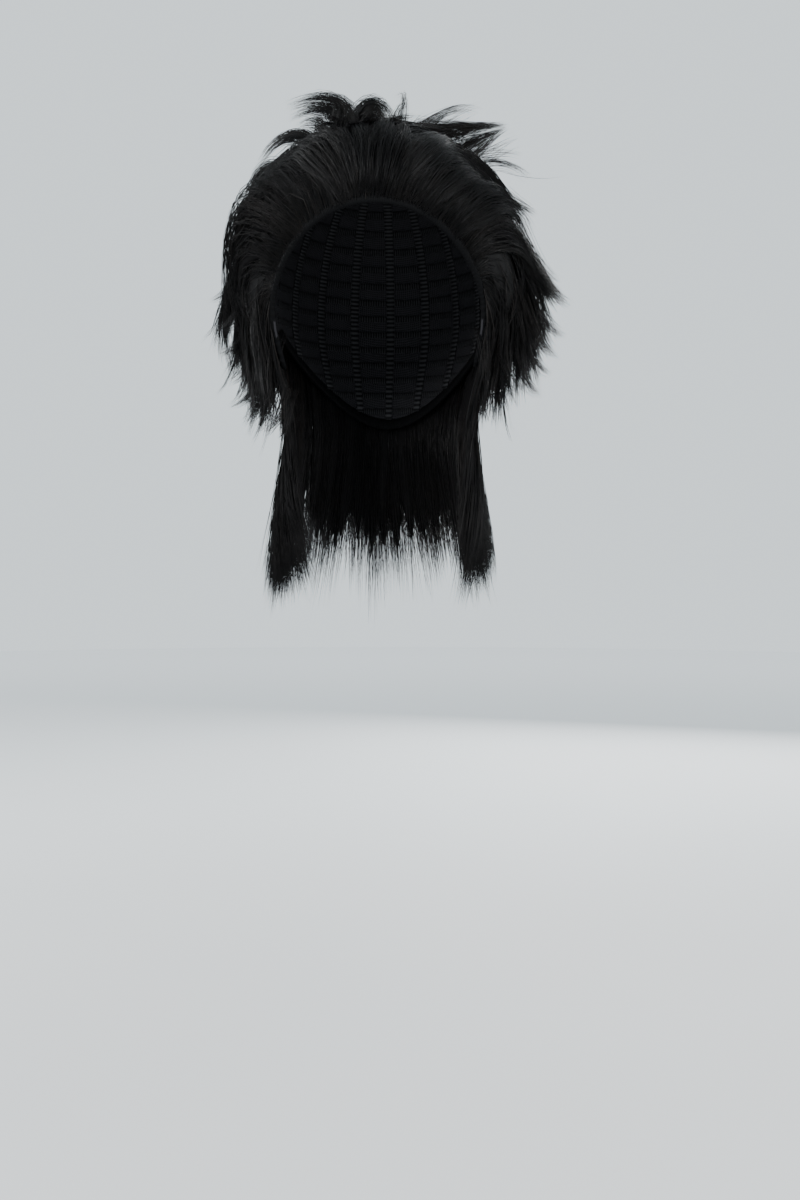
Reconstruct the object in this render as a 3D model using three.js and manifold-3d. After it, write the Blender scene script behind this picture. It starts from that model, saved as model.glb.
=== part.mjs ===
// A black mullet wig in the form it has when worn: short and swept back over the head, long at the nape.
// Millimetres, +Z up. The face opening looks along -Y, and +X is on the right of a viewer who faces it.
// The origin is the inside of the cap at the crown, where the head bears.
import * as THREE from "three";
import Module from "manifold-3d";

const wasm = await Module();
wasm.setup();

// The head that the cap fits, measured from its crown
const HEAD_HALF_WIDTH = 76;
const HEAD_FRONT = 94;
const HEAD_BACK = 100;
const CROWN_HEIGHT = 108; // from the widest line up to the crown
const NECK_HEIGHT = 92; // from the widest line down to where the neck stops narrowing
const NECK_SHARE = 0.72; // the neck's size there, as a share of the head's

// The cap's edge, by its drops from the crown and its turns from the face in degrees
const CAP_WALL = 1.5;
const HAIRLINE_DROP = 55;
const OPENING_DROP = 128; // to the line where the face opening is widest
const OPENING_HALF_WIDTH = 0.93 * HEAD_HALF_WIDTH;
const EAR_TAB = { turn: 76, depth: 152 };
const EAR_ARCH = { turn: 104, depth: 126 };
const NAPE = { turn: 180, depth: 186 };

// The tape bound on the cap's edge
const TAPE_WIDTH = 5;
const TAPE_THICKNESS = 1.1;

// The hair
const CLEARANCE = 0.45; // between one sewn piece and the next
const BACKING_GAP = 1.2; // between the cap's wall and a backing, which leaves room for their facets
const BACKING_THIN = 0.5; // a backing's thickness along its lower edge, as a share of the rest
const HAIR_BODY = 30; // how far the short hair stands off the head
const HAIR_HANG = 200; // from the head's widest line down to the ends of the long hair
const LOCK_WIDTH = 26;
const LOCK_DEPTH = 11;
const LOCK_ROOT = 0.6; // a lock's size at its root, as a share of its full size
const LOCK_FULL_AT = 0.3; // the share of its length by which it is full
const LOCK_POINT = 0.06; // its size at the tip, as a share of its full size
const LOCK_CARRY = 0.4; // how much a section keeps the turn of the one before it
const TIP_CROWDING = 1.5; // how far a lock's sections crowd towards its tip

// Facets
const OPENING_ANGLES = [0, 12, 24, 36, 48, 60, 70, 80, 90];
const NAPE_SHARES = [0.2, 0.4, 0.6, 0.8, 1];
const CAP_ROWS = 5;
const BACKING_TURN = 13; // the size of a backing's facets, in degrees of turn and in drop
const BACKING_DROP = 0.14;
const BACKING_REACH = 1.2; // the drop down to which its rows of facets are counted
const LOCK_STEPS = 4;
const LOCK_SIDES = 5;

const HAIR_COLOUR = 0x0d0c0d;
const CAP_COLOUR = 0x17161a;

const { smoothstep, lerp, degToRad, radToDeg } = THREE.MathUtils;
const QUARTER = Math.PI / 2;
const count = (n) => Array.from({ length: n }, (_, i) => i);

// Places on the head are given by turn, drop and lift. Turn is in degrees from the face, positive towards
// +X. Drop is 0 at the crown, 1 at the widest line and 2 at the ends of the long hair. Lift is the distance
// off the head.
function place(turn, drop, lift) {
  const across = Math.sin(degToRad(turn));
  const ahead = Math.cos(degToRad(turn));
  const hang = Math.max(0, drop - 1) * HAIR_HANG;
  const over = Math.min(drop, 1) * QUARTER;
  const reach = Math.sin(over) * lerp(1, NECK_SHARE, smoothstep(hang, 0, NECK_HEIGHT));
  const halfLength = ahead > 0 ? HEAD_FRONT : HEAD_BACK;
  const x = HEAD_HALF_WIDTH * reach * across;
  const y = -halfLength * reach * ahead;
  const z = -CROWN_HEIGHT * (1 - Math.cos(over)) - hang;
  const normal = new THREE.Vector3(
    (Math.sin(over) * across) / HEAD_HALF_WIDTH,
    (-Math.sin(over) * ahead) / halfLength,
    Math.cos(over) / CROWN_HEIGHT,
  ).normalize();
  return { point: new THREE.Vector3(x, y, z).addScaledVector(normal, lift), normal };
}

function dropOfDepth(depth) {
  if (depth > CROWN_HEIGHT) return 1 + (depth - CROWN_HEIGHT) / HAIR_HANG;
  return Math.acos(1 - depth / CROWN_HEIGHT) / QUARTER;
}

// Closed meshes and solids
function solidOf(points, faces) {
  const vertProperties = new Float32Array(points.flatMap((p) => [p.x, p.y, p.z]));
  const solid = (triangles) => {
    const triVerts = new Uint32Array(triangles.flat());
    return new wasm.Manifold(new wasm.Mesh({ numProp: 3, vertProperties, triVerts }));
  };
  const made = solid(faces);
  return made.volume() > 0 ? made : solid(faces.map(([a, b, c]) => [a, c, b]));
}

// A loft through rings of points. Open ends are closed on their first and last points, or on their middles.
function loft(rings, { closed = false, ends = null } = {}) {
  const across = rings[0].length;
  const points = rings.flat();
  const faces = [];
  const spans = closed ? rings.length : rings.length - 1;
  for (let i = 0; i < spans; i++) {
    const here = i * across;
    const next = ((i + 1) % rings.length) * across;
    for (let j = 0; j < across; j++) {
      const k = (j + 1) % across;
      faces.push([here + j, next + j, next + k], [here + j, next + k, here + k]);
    }
  }
  if (!closed) {
    const middle = (ring) =>
      ring.reduce((sum, p) => sum.add(p), new THREE.Vector3()).divideScalar(ring.length);
    const [first, last] = ends ?? [middle(rings[0]), middle(rings.at(-1))];
    const start = points.push(first) - 1;
    const finish = points.push(last) - 1;
    const tail = (rings.length - 1) * across;
    for (let j = 0; j < across; j++) {
      const k = (j + 1) % across;
      faces.push([start, j, k], [finish, tail + k, tail + j]);
    }
  }
  return solidOf(points, faces);
}

// The cap's edge: an elliptical arch over the face, a tab before each ear, an arch over it, and the nape
function edgeStations() {
  const opening = OPENING_ANGLES.map((angle) => {
    const rise = (OPENING_DROP - HAIRLINE_DROP) * (1 - Math.cos(degToRad(angle)));
    const depth = HAIRLINE_DROP + rise;
    const headHalfWidth = HEAD_HALF_WIDTH * Math.sin(Math.min(dropOfDepth(depth), 1) * QUARTER);
    const sine = (OPENING_HALF_WIDTH * Math.sin(degToRad(angle))) / headHalfWidth;
    return { turn: radToDeg(Math.asin(Math.min(sine, 1))), depth };
  });
  const between = (from, to, shares) =>
    shares.map((share) => ({
      turn: lerp(from.turn, to.turn, share),
      depth: lerp(from.depth, to.depth, smoothstep(share, 0, 1)),
    }));
  const nape = NAPE_SHARES.map((share) => ({
    turn: lerp(EAR_ARCH.turn, NAPE.turn, share),
    depth: lerp(EAR_ARCH.depth, NAPE.depth, Math.sin(share * QUARTER)),
  }));
  return [
    ...opening,
    ...between(opening.at(-1), EAR_TAB, [0.5, 1]),
    ...between(EAR_TAB, EAR_ARCH, [0.25, 0.5, 0.75, 1]),
    ...nape,
  ];
}

// The same edge all round the head: the stations on one side and their mirror images on the other
function edgeRound() {
  const half = edgeStations();
  const other = half
    .slice(1, -1)
    .reverse()
    .map(({ turn, depth }) => ({ turn: -turn, depth }));
  return [...half, ...other];
}

// The depth of the cap's edge at any turn
function edgeDepth(turn) {
  const edge = edgeStations();
  const away = Math.abs(((turn + 540) % 360) - 180);
  const next = Math.max(1, edge.findIndex((station) => station.turn >= away));
  const [from, to] = [edge[next - 1], edge[next]];
  return lerp(from.depth, to.depth, (away - from.turn) / (to.turn - from.turn));
}

// The cap: a thin shell from the crown down to its edge, with a row of points behind the tape's upper side
function capSolid() {
  const edge = edgeRound();
  const shares = count(CAP_ROWS).map((i) => (i + 1) / CAP_ROWS);
  const row = (share, lift) =>
    edge.map(({ turn, depth }) => place(turn, dropOfDepth(depth - TAPE_WIDTH) * share, lift).point);
  const rim = (lift) => edge.map(({ turn, depth }) => place(turn, dropOfDepth(depth), lift).point);
  const outside = [...shares.map((share) => row(share, CAP_WALL)), rim(CAP_WALL)];
  const inside = [rim(0), ...shares.toReversed().map((share) => row(share, 0))];
  return loft([...outside, ...inside], { ends: [place(0, 0, CAP_WALL).point, place(0, 0, 0).point] });
}

function tapeSolid() {
  const low = CAP_WALL + CLEARANCE;
  const high = low + TAPE_THICKNESS;
  const section = ({ turn, depth }) => {
    const edge = dropOfDepth(depth);
    const top = dropOfDepth(depth - TAPE_WIDTH);
    const corners = [[edge, low], [edge, high], [top, high], [top, low]];
    return corners.map(([drop, lift]) => place(turn, drop, lift).point);
  };
  return loft(edgeRound().map(section), { closed: true });
}

// Each piece of hair has a backing sewn on the cap, between two turns and two drops, and tiers of locks that
// grow out of it. A row of a tier is one lock, and the locks between two rows are worked out from them. Rise
// is the handle of a lock's curve. Lifts are shares of the hair's body, and width and depth are shares of a
// lock's. A high blunt keeps a lock full almost down to its tip.
const HAIR = {
  front_sweep: {
    backing: { turns: [-62, 62], drops: [0.43, 2], lift: 0.36 },
    tiers: [
      {
        count: 6,
        blunt: 2.5,
        rows: [
          { root: [-58, 0.86], rise: [-84, 0.68, 1.4], tip: [-104, 1.12, 0.85], width: 1.2, depth: 1.8 },
          { root: [-42, 0.72], rise: [-80, 0.36, 1.75], tip: [-98, 0.9, 0.85], width: 1.4, depth: 2 },
          { root: [-18, 0.62], rise: [-46, 0.26, 1.05], tip: [-88, 0.6, 0.95], width: 1.4, depth: 1.6 },
        ],
      },
      {
        count: 6,
        blunt: 2.5,
        rows: [
          { root: [-8, 0.6], rise: [-6, 0.38, 0.9], tip: [-20, 0.1, 0.5], width: 1, depth: 1 },
          { root: [14, 0.6], rise: [30, 0.36, 1], tip: [72, 0.34, 0.8], width: 1.2, depth: 1.2 },
          { root: [36, 0.68], rise: [58, 0.48, 1.0], tip: [86, 0.66, 1.1], width: 1.2, depth: 1.6 },
          { root: [56, 0.82], rise: [72, 0.68, 1.0], tip: [90, 0.94, 1.15], width: 1.2, depth: 1.4 },
        ],
      },
    ],
  },
  crown: {
    backing: { turns: [0, 360], drops: [0, 0.41], lift: 0.4 },
    tiers: [
      {
        count: 8,
        blunt: 2.5,
        rows: [
          { root: [84, 0.26], rise: [90, 0.46, 1.2], tip: [92, 0.72, 1.35], width: 1.6, depth: 1.4 },
          { root: [180, 0.26], rise: [180, 0.5, 1.4], tip: [180, 0.84, 1.2], width: 2, depth: 1.6 },
          { root: [276, 0.26], rise: [272, 0.46, 1.2], tip: [272, 0.72, 1.2], width: 1.6, depth: 1.4 },
        ],
      },
      {
        count: 6,
        blunt: 2,
        rows: [
          { root: [-80, 0.2], rise: [-84, 0.22, 1.6], tip: [-92, 0.42, 1.15], width: 0.9, depth: 1 },
          { root: [-60, 0.06], rise: [-70, 0.16, 1.6], tip: [-30, 0.06, 0.9], width: 0.9, depth: 1 },
          { root: [60, 0.1], rise: [84, 0.14, 1.4], tip: [80, 0.38, 1.3], width: 0.6, depth: 0.8 },
          { root: [90, 0.24], rise: [92, 0.38, 1.2], tip: [92, 0.52, 1.8], width: 1, depth: 1 },
        ],
      },
    ],
  },
  left_side: {
    backing: { turns: [-112, -63], drops: [0.43, 2], lift: 0.6 },
    tiers: [
      {
        count: 3,
        blunt: 2.5,
        rows: [
          { root: [-104, 0.62], rise: [-110, 0.9, 1.3], tip: [-104, 1.14, 1.5], width: 1, depth: 1 },
          { root: [-80, 0.72], rise: [-92, 0.95, 1.3], tip: [-92, 1.2, 1.25], width: 1, depth: 1 },
        ],
      },
      {
        count: 5,
        blunt: 2.5,
        rows: [
          { root: [-106, 0.88], rise: [-112, 1.16, 1.2], tip: [-106, 1.32, 1.4], width: 1.2, depth: 1.3 },
          { root: [-88, 0.92], rise: [-94, 1.16, 1.1], tip: [-92, 1.38, 1.1], width: 1.2, depth: 1.3 },
          { root: [-74, 0.94], rise: [-76, 1.14, 0.4], tip: [-84, 1.44, 0.6], width: 1.1, depth: 1.1 },
        ],
      },
    ],
  },
  right_side: {
    backing: { turns: [63, 112], drops: [0.43, 2], lift: 0.6 },
    tiers: [
      {
        count: 3,
        blunt: 2.5,
        rows: [
          { root: [80, 0.66], rise: [88, 0.92, 1.1], tip: [90, 1.1, 1.5], width: 1.3, depth: 1.4 },
          { root: [104, 0.58], rise: [104, 0.84, 1.3], tip: [98, 0.98, 1.6], width: 1.3, depth: 1.4 },
        ],
      },
      {
        count: 5,
        blunt: 2.5,
        rows: [
          { root: [74, 0.94], rise: [76, 1.14, 0.4], tip: [84, 1.42, 0.45], width: 1.1, depth: 1 },
          { root: [88, 0.92], rise: [90, 1.1, 1.1], tip: [92, 1.3, 1.0], width: 1.2, depth: 1.2 },
          { root: [106, 0.88], rise: [104, 1.08, 1.3], tip: [98, 1.22, 1.65], width: 1.2, depth: 1.4 },
        ],
      },
    ],
  },
  upper_back: {
    backing: { turns: [113, 247], drops: [0.43, 0.82], lift: 0.6 },
    tiers: [
      {
        count: 7,
        blunt: 2.5,
        rows: [
          { root: [118, 0.66], rise: [116, 0.9, 1.2], tip: [112, 1.16, 1.2], width: 1.6, depth: 1.3 },
          { root: [180, 0.66], rise: [180, 0.95, 1.3], tip: [180, 1.2, 1.1], width: 2, depth: 1.5 },
          { root: [242, 0.66], rise: [246, 0.9, 1.2], tip: [248, 1.16, 1.2], width: 1.6, depth: 1.3 },
        ],
      },
    ],
  },
  lower_back: {
    backing: { turns: [113, 247], drops: [0.84, 1.06], lift: 0.5 },
    tiers: [
      {
        count: 7,
        blunt: 3,
        rows: [
          { root: [118, 0.95], rise: [114, 1.18, 0.8], tip: [112, 1.4, 0.8], width: 1.4, depth: 1.3 },
          { root: [180, 0.95], rise: [180, 1.2, 0.9], tip: [180, 1.5, 0.9], width: 1.7, depth: 1.5 },
          { root: [242, 0.95], rise: [246, 1.18, 0.8], tip: [248, 1.42, 0.8], width: 1.4, depth: 1.3 },
        ],
      },
    ],
  },
  mane: {
    backing: { turns: [132, 228], drops: [1.08, 2], lift: 0.42 },
    tiers: [
      {
        count: 7,
        blunt: 5,
        rows: [
          { root: [136, 1.12], rise: [132, 1.55, 0.3], tip: [122, 1.94, 0.5], width: 1, depth: 1.2 },
          { root: [180, 1.2], rise: [180, 1.6, 0.4], tip: [180, 2.04, 0.6], width: 1.1, depth: 1.3 },
          { root: [224, 1.12], rise: [228, 1.55, 0.3], tip: [238, 1.96, 0.5], width: 1, depth: 1.2 },
        ],
      },
    ],
  },
  left_tail: {
    backing: { turns: [-131, -113], drops: [1.08, 2], lift: 0.42 },
    tiers: [
      {
        count: 4,
        blunt: 9,
        rows: [
          { root: [-128, 1.1], rise: [-118, 1.6, 0.5], tip: [-102, 1.98, 0.8], width: 0.9, depth: 1.1 },
          { root: [-115, 1.1], rise: [-90, 1.5, 0.25], tip: [-68, 1.97, 0.25], width: 0.9, depth: 1.1 },
        ],
      },
    ],
  },
  right_tail: {
    backing: { turns: [113, 131], drops: [1.08, 2], lift: 0.4 },
    tiers: [
      {
        count: 4,
        blunt: 9,
        rows: [
          { root: [115, 1.1], rise: [104, 1.5, 0.1], tip: [58, 1.97, 0.3], width: 0.8, depth: 1 },
          { root: [128, 1.1], rise: [112, 1.6, 0.1], tip: [82, 1.98, 0.45], width: 0.8, depth: 1 },
        ],
      },
    ],
  },
};

// How far neighbouring locks differ: degrees of turn, shares of drop and lift, and a share of the width
const SPREAD = { rootTurn: 3, tipTurn: 6, tipDrop: 0.05, tipLift: 0.15, width: 0.15 };

// A steady number from -1 to 1 that looks random
function vary(index, seed) {
  const wave = Math.sin((index + 1) * 12.9898 + seed * 78.233) * 43758.5453;
  return 2 * (wave - Math.floor(wave)) - 1;
}

function locksOf({ count: total, rows, blunt }, start, seed) {
  return count(total).map((i) => {
    const at = (i / (total - 1)) * (rows.length - 1);
    const low = Math.min(Math.floor(at), rows.length - 2);
    const [a, b] = [rows[low], rows[low + 1]];
    const mix = (key) => [a[key]].flat().map((value, k) => lerp(value, [b[key]].flat()[k], at - low));
    const [root, rise, tip] = [mix("root"), mix("rise"), mix("tip")];
    root[0] += SPREAD.rootTurn * vary(i, seed + 4);
    tip[0] += SPREAD.tipTurn * vary(i, seed);
    tip[1] += SPREAD.tipDrop * vary(i, seed + 1);
    tip[2] += SPREAD.tipLift * vary(i, seed + 2);
    return {
      root: [...root, start],
      rise: [rise[0], rise[1], rise[2] * HAIR_BODY],
      tip: [tip[0], tip[1], tip[2] * HAIR_BODY],
      halfWidth: (LOCK_WIDTH / 2) * mix("width")[0] * (1 + SPREAD.width * vary(i, seed + 3)),
      halfDepth: (LOCK_DEPTH / 2) * mix("depth")[0],
      blunt,
    };
  });
}

// One lock: a flattened section carried along its curve, full past the root and drawn to a point. A grown
// lock is the room that the pieces beside it leave.
function lockSolid({ root, rise, tip, halfWidth, halfDepth, blunt }, grow) {
  const at = (t) => {
    const [turn, drop, lift] = root.map((start, k) => {
      const [near, far] = [lerp(start, rise[k], t), lerp(rise[k], tip[k], t)];
      return lerp(near, far, t);
    });
    return place(turn, drop, lift);
  };
  const heading = (t) => at(t + 0.01).point.sub(at(t - 0.01).point).normalize();
  let across = new THREE.Vector3();
  const rings = count(LOCK_STEPS + 1).map((i) => {
    const t = 1 - (1 - i / LOCK_STEPS) ** TIP_CROWDING;
    const { point, normal } = at(t);
    const along = heading(t);
    const side = new THREE.Vector3().crossVectors(along, normal).addScaledVector(across, LOCK_CARRY);
    across = side.addScaledVector(along, -side.dot(along)).normalize();
    const out = new THREE.Vector3().crossVectors(across, along);
    const filled = lerp(LOCK_ROOT, 1, smoothstep(t, 0, LOCK_FULL_AT));
    const full = filled * Math.max(LOCK_POINT, 1 - t ** blunt);
    return count(LOCK_SIDES).map((k) => {
      const angle = QUARTER + (2 * Math.PI * k) / LOCK_SIDES;
      return point
        .clone()
        .addScaledVector(across, (halfWidth * full + grow) * Math.cos(angle))
        .addScaledVector(out, (halfDepth * full + grow) * Math.sin(angle));
    });
  });
  const first = at(0).point.addScaledVector(heading(0), -2 * grow);
  const last = at(1).point.addScaledVector(heading(1), 2 * grow);
  return loft(rings, { ends: [first, last] });
}

// A backing: a curved sheet over the cap, which stops above the tape and thins towards its lower edge
function backingSolid({ turns, drops, lift }, grow) {
  const low = CAP_WALL + BACKING_GAP - grow;
  const high = lift * HAIR_BODY + grow;
  const aside = radToDeg(grow / HEAD_HALF_WIDTH);
  const down = grow / HAIR_HANG;
  const top = Math.max(0, drops[0] - 2 * down);
  const rows = Math.max(2, Math.ceil((Math.min(drops[1], BACKING_REACH) - drops[0]) / BACKING_DROP));
  const wall = (turn, level) => {
    const edge = dropOfDepth(edgeDepth(turn) - TAPE_WIDTH - 2 * CLEARANCE);
    const bottom = Math.min(drops[1], edge) + down;
    return count(rows + 1).map((i) => {
      const thin = i === rows && level === high ? BACKING_THIN * (high - low) : 0;
      return place(turn, lerp(top, bottom, i / rows), level - thin).point;
    });
  };
  const range = turns[1] - turns[0];
  const steps = Math.ceil(range / BACKING_TURN);
  if (range < 360) {
    const columns = count(steps + 1).map((i) => lerp(turns[0] - aside, turns[1] + aside, i / steps));
    return loft(columns.map((turn) => [...wall(turn, low), ...wall(turn, high).reverse()]));
  }
  const columns = count(steps).map((i) => turns[0] + (range * i) / steps);
  const ring = (k, level) => columns.map((turn) => wall(turn, level)[k]);
  const below = count(rows).map((k) => k + 1);
  const rings = [...below.map((k) => ring(k, high)), ...below.toReversed().map((k) => ring(k, low))];
  return loft(rings, { ends: [place(0, 0, high).point, place(0, 0, low).point] });
}

const join = (solids) => wasm.Manifold.union(solids);
const biggest = (solid) => solid.decompose().sort((a, b) => b.volume() - a.volume())[0];

function hairSolid({ backing, tiers }, seed, grow = 0) {
  const start = (CAP_WALL + BACKING_GAP + backing.lift * HAIR_BODY) / 2;
  const locks = tiers.flatMap((tier, i) => locksOf(tier, start, seed + 10 * i));
  return join([backingSolid(backing, grow), ...locks.map((lock) => lockSolid(lock, grow))]);
}

// The room that a piece takes with the clearance round it
function roomRound(solid) {
  const shifts = [-CLEARANCE, CLEARANCE].flatMap((by) => [[by, 0, 0], [0, by, 0], [0, 0, by]]);
  return join([solid, ...shifts.map((shift) => solid.translate(shift))]);
}

function meshOf(name, solid, color, roughness) {
  const { vertProperties, triVerts } = solid.getMesh();
  const shared = new THREE.BufferGeometry();
  shared.setAttribute("position", new THREE.BufferAttribute(vertProperties, 3));
  shared.setIndex(new THREE.BufferAttribute(triVerts, 1));
  const geometry = shared.toNonIndexed();
  geometry.computeVertexNormals();
  const mesh = new THREE.Mesh(geometry, new THREE.MeshStandardMaterial({ color, roughness, metalness: 0 }));
  mesh.name = name;
  return mesh;
}

const cap = capSolid();
const tape = tapeSolid();
const wig = new THREE.Group();
wig.name = "mullet_wig";
wig.add(meshOf("cap", cap, CAP_COLOUR, 0.9), meshOf("edge_tape", tape, CAP_COLOUR, 0.8));

// The hair goes on piece by piece, and each leaves room for those before it
let taken = roomRound(join([cap, tape]));
Object.entries(HAIR).forEach(([name, piece], seed) => {
  wig.add(meshOf(name, biggest(hairSolid(piece, seed).subtract(taken)), HAIR_COLOUR, 0.45));
  taken = taken.add(hairSolid(piece, seed, CLEARANCE));
});

export default wig;
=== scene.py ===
# %% [markdown]
# # A black mullet wig
# The wig is short, choppy and swept back on top, and long at the nape. It is shown empty, in the form that
# it has when it is worn, so that it can be put on anyone. The lesson begins with the packed model, which
# gives every size.

# %% Load the packed model
import math

import bmesh
import bpy
import numpy as np
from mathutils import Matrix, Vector


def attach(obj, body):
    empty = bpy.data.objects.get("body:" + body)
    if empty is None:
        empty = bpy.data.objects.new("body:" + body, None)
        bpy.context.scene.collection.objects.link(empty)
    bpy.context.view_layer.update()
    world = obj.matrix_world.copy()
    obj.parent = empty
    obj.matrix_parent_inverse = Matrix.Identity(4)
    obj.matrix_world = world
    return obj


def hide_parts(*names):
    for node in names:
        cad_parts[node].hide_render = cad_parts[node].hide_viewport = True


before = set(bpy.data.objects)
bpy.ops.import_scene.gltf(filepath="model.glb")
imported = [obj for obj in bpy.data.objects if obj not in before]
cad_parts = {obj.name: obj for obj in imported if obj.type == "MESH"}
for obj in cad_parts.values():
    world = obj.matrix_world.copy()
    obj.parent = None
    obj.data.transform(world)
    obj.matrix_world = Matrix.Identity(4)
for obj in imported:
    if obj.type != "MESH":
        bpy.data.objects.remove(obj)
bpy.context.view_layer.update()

# %% [markdown]
# ## The camera
# The photograph is 800 by 1200 pixels and was taken from about a metre away, level with the wig's long
# hair. The lens follows from the distance: 1449 pixels of focal length on a frame 1200 pixels high are
# 43.5 mm on a 36 mm sensor. The wig stands high in the frame. A tilted camera would find it there too, but
# it makes upright lines lean, so the lens is shifted, as on a view camera.

# %% Camera
PIXELS_HIGH = 1200
FOCAL_PIXELS = 1449
SENSOR = 36
CAMERA_AWAY = 1.0
CAMERA_HEIGHT = -0.273
CAMERA_TURN = math.radians(4)
CENTRE_PIXEL = (400, 600)
AXIS_PIXEL = (381.5, 545)  # where the level line of sight meets the photograph

camera_data = bpy.data.cameras.new("camera")
camera_data.sensor_width = SENSOR
camera_data.lens = FOCAL_PIXELS / PIXELS_HIGH * SENSOR
camera_data.shift_x = (CENTRE_PIXEL[0] - AXIS_PIXEL[0]) / PIXELS_HIGH
camera_data.shift_y = (AXIS_PIXEL[1] - CENTRE_PIXEL[1]) / PIXELS_HIGH
camera = bpy.data.objects.new("camera", camera_data)
bpy.context.collection.objects.link(camera)
camera.location = (
    CAMERA_AWAY * math.sin(CAMERA_TURN),
    -CAMERA_AWAY * math.cos(CAMERA_TURN),
    CAMERA_HEIGHT,
)
camera.rotation_euler = (math.radians(90), 0, CAMERA_TURN)
bpy.context.scene.camera = camera
print("lens in mm:", round(camera_data.lens, 1))

# %% [markdown]
# ## Places by turn, drop and lift
# The cap and every lock lie on a rounded form: half an ellipsoid that narrows further down. Plain x, y and z
# would make each curve on it a puzzle, so places are given as on a globe. Turn is in degrees from the face
# opening. Drop is 0 at the crown, 1 at the widest line and 2 at the ends of the long hair. Lift is the
# distance off the form. Whole arrays are worked out at once, which keeps thousands of hairs quick.

# %% The form in metres
HALF_WIDTH, FRONT, BACK, CROWN = 0.076, 0.094, 0.100, 0.108
HANG, NECK_HEIGHT, NECK_SHARE = 0.200, 0.092, 0.72
BODY = 0.030  # how far the short hair stands off the form


def smoothstep(value, low, high):
    share = np.clip((value - low) / (high - low), 0, 1)
    return share * share * (3 - 2 * share)


def place(turn, drop, lift):
    """Points and outward normals at any turns, drops and lifts."""
    turn, drop, lift = np.broadcast_arrays(
        np.asarray(turn, float), np.asarray(drop, float), np.asarray(lift, float)
    )
    across, ahead = np.sin(np.radians(turn)), np.cos(np.radians(turn))
    hang = np.maximum(0, drop - 1) * HANG
    over = np.minimum(drop, 1) * math.pi / 2
    reach = np.sin(over) * (1 - (1 - NECK_SHARE) * smoothstep(hang, 0, NECK_HEIGHT))
    length = np.where(ahead > 0, FRONT, BACK)
    height = -CROWN * (1 - np.cos(over)) - hang
    point = np.stack([HALF_WIDTH * reach * across, -length * reach * ahead, height], -1)
    normal = np.stack(
        [np.sin(over) * across / HALF_WIDTH, -np.sin(over) * ahead / length, np.cos(over) / CROWN], -1
    )
    normal /= np.linalg.norm(normal, axis=-1, keepdims=True)
    return point + normal * lift[..., None], normal


def drop_of(depth):
    """The drop of a place that lies so many metres below the crown."""
    over = np.arccos(np.clip(1 - np.minimum(depth, CROWN) / CROWN, -1, 1)) / (math.pi / 2)
    return np.where(depth > CROWN, 1 + (depth - CROWN) / HANG, over)


print("widest line in mm:", np.round(1000 * place([0, 90, 180], 1, 0)[0]).tolist())

# %% [markdown]
# ## The cap's edge
# The edge arches over the face opening, comes down in a tab before each ear, rises over the ear and falls to
# the nape. It could be a curve drawn by hand. A few stations, each with a turn and a depth below the crown,
# say the same and are easy to change. The face opening is an ellipse, so its stations are worked out.

# %% Edge stations
HAIRLINE, OPENING_LOW, OPENING_HALF = 0.055, 0.128, 0.93 * HALF_WIDTH
EAR_TAB, EAR_ARCH, NAPE = (76, 0.152), (104, 0.126), (180, 0.186)
OPENING_STATIONS = 24
STRETCH = np.linspace(0.1, 1, 10)  # the shares of a stretch at which a station stands


def station(start, end, share, eased):
    return start[0] + (end[0] - start[0]) * share, start[1] + (end[1] - start[1]) * eased


def edge_stations():
    angles = np.radians(np.linspace(0, 90, OPENING_STATIONS))
    depth = HAIRLINE + (OPENING_LOW - HAIRLINE) * (1 - np.cos(angles))
    half = HALF_WIDTH * np.sin(np.minimum(drop_of(depth), 1) * math.pi / 2)
    turn = np.degrees(np.arcsin(np.minimum(OPENING_HALF * np.sin(angles) / half, 1)))
    stations = list(zip(turn, depth))
    for start, end in [(stations[-1], EAR_TAB), (EAR_TAB, EAR_ARCH)]:
        stations += [station(start, end, share, smoothstep(share, 0, 1)) for share in STRETCH]
    stations += [station(EAR_ARCH, NAPE, share, math.sin(share * math.pi / 2)) for share in STRETCH]
    return np.array(stations).T


EDGE_TURN, EDGE_DEPTH = edge_stations()


def from_front(turn):
    """How many degrees a turn lies from the face opening, on either side."""
    return np.abs((np.asarray(turn, float) + 540) % 360 - 180)


def edge_depth(turn):
    return np.interp(from_front(turn), EDGE_TURN, EDGE_DEPTH)


print("edge depth in mm at the face, ear and nape:", np.round(1000 * edge_depth([0, 76, 104, 180])).tolist())

# %% [markdown]
# ## Shader sums in plain Python
# A material is a sum over sockets. It can be wired node by node, but then the sum is lost among the links.
# Wrapping a socket in a class that knows plus and times lets the sum be written as one line, and one method
# adds every other kind of node.


# %% Socket wrapper
class Wire:
    """A socket that can be added, multiplied, subtracted and raised."""

    def __init__(self, paint, socket):
        self.paint, self.socket = paint, socket

    def beside(self, output):
        """Another output of the same node."""
        return Wire(self.paint, self.socket.node.outputs[output])

    def math(self, operation, first, second=0.0):
        return self.paint.node("ShaderNodeMath", {"operation": operation}, {0: first, 1: second})

    def __add__(self, other):
        return self.math("ADD", self, other)

    def __mul__(self, other):
        return self.math("MULTIPLY", self, other)

    def __rsub__(self, other):
        return self.math("SUBTRACT", other, self)

    def __pow__(self, other):
        return self.math("POWER", self, other)

    __radd__ = __add__
    __rmul__ = __mul__


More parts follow.
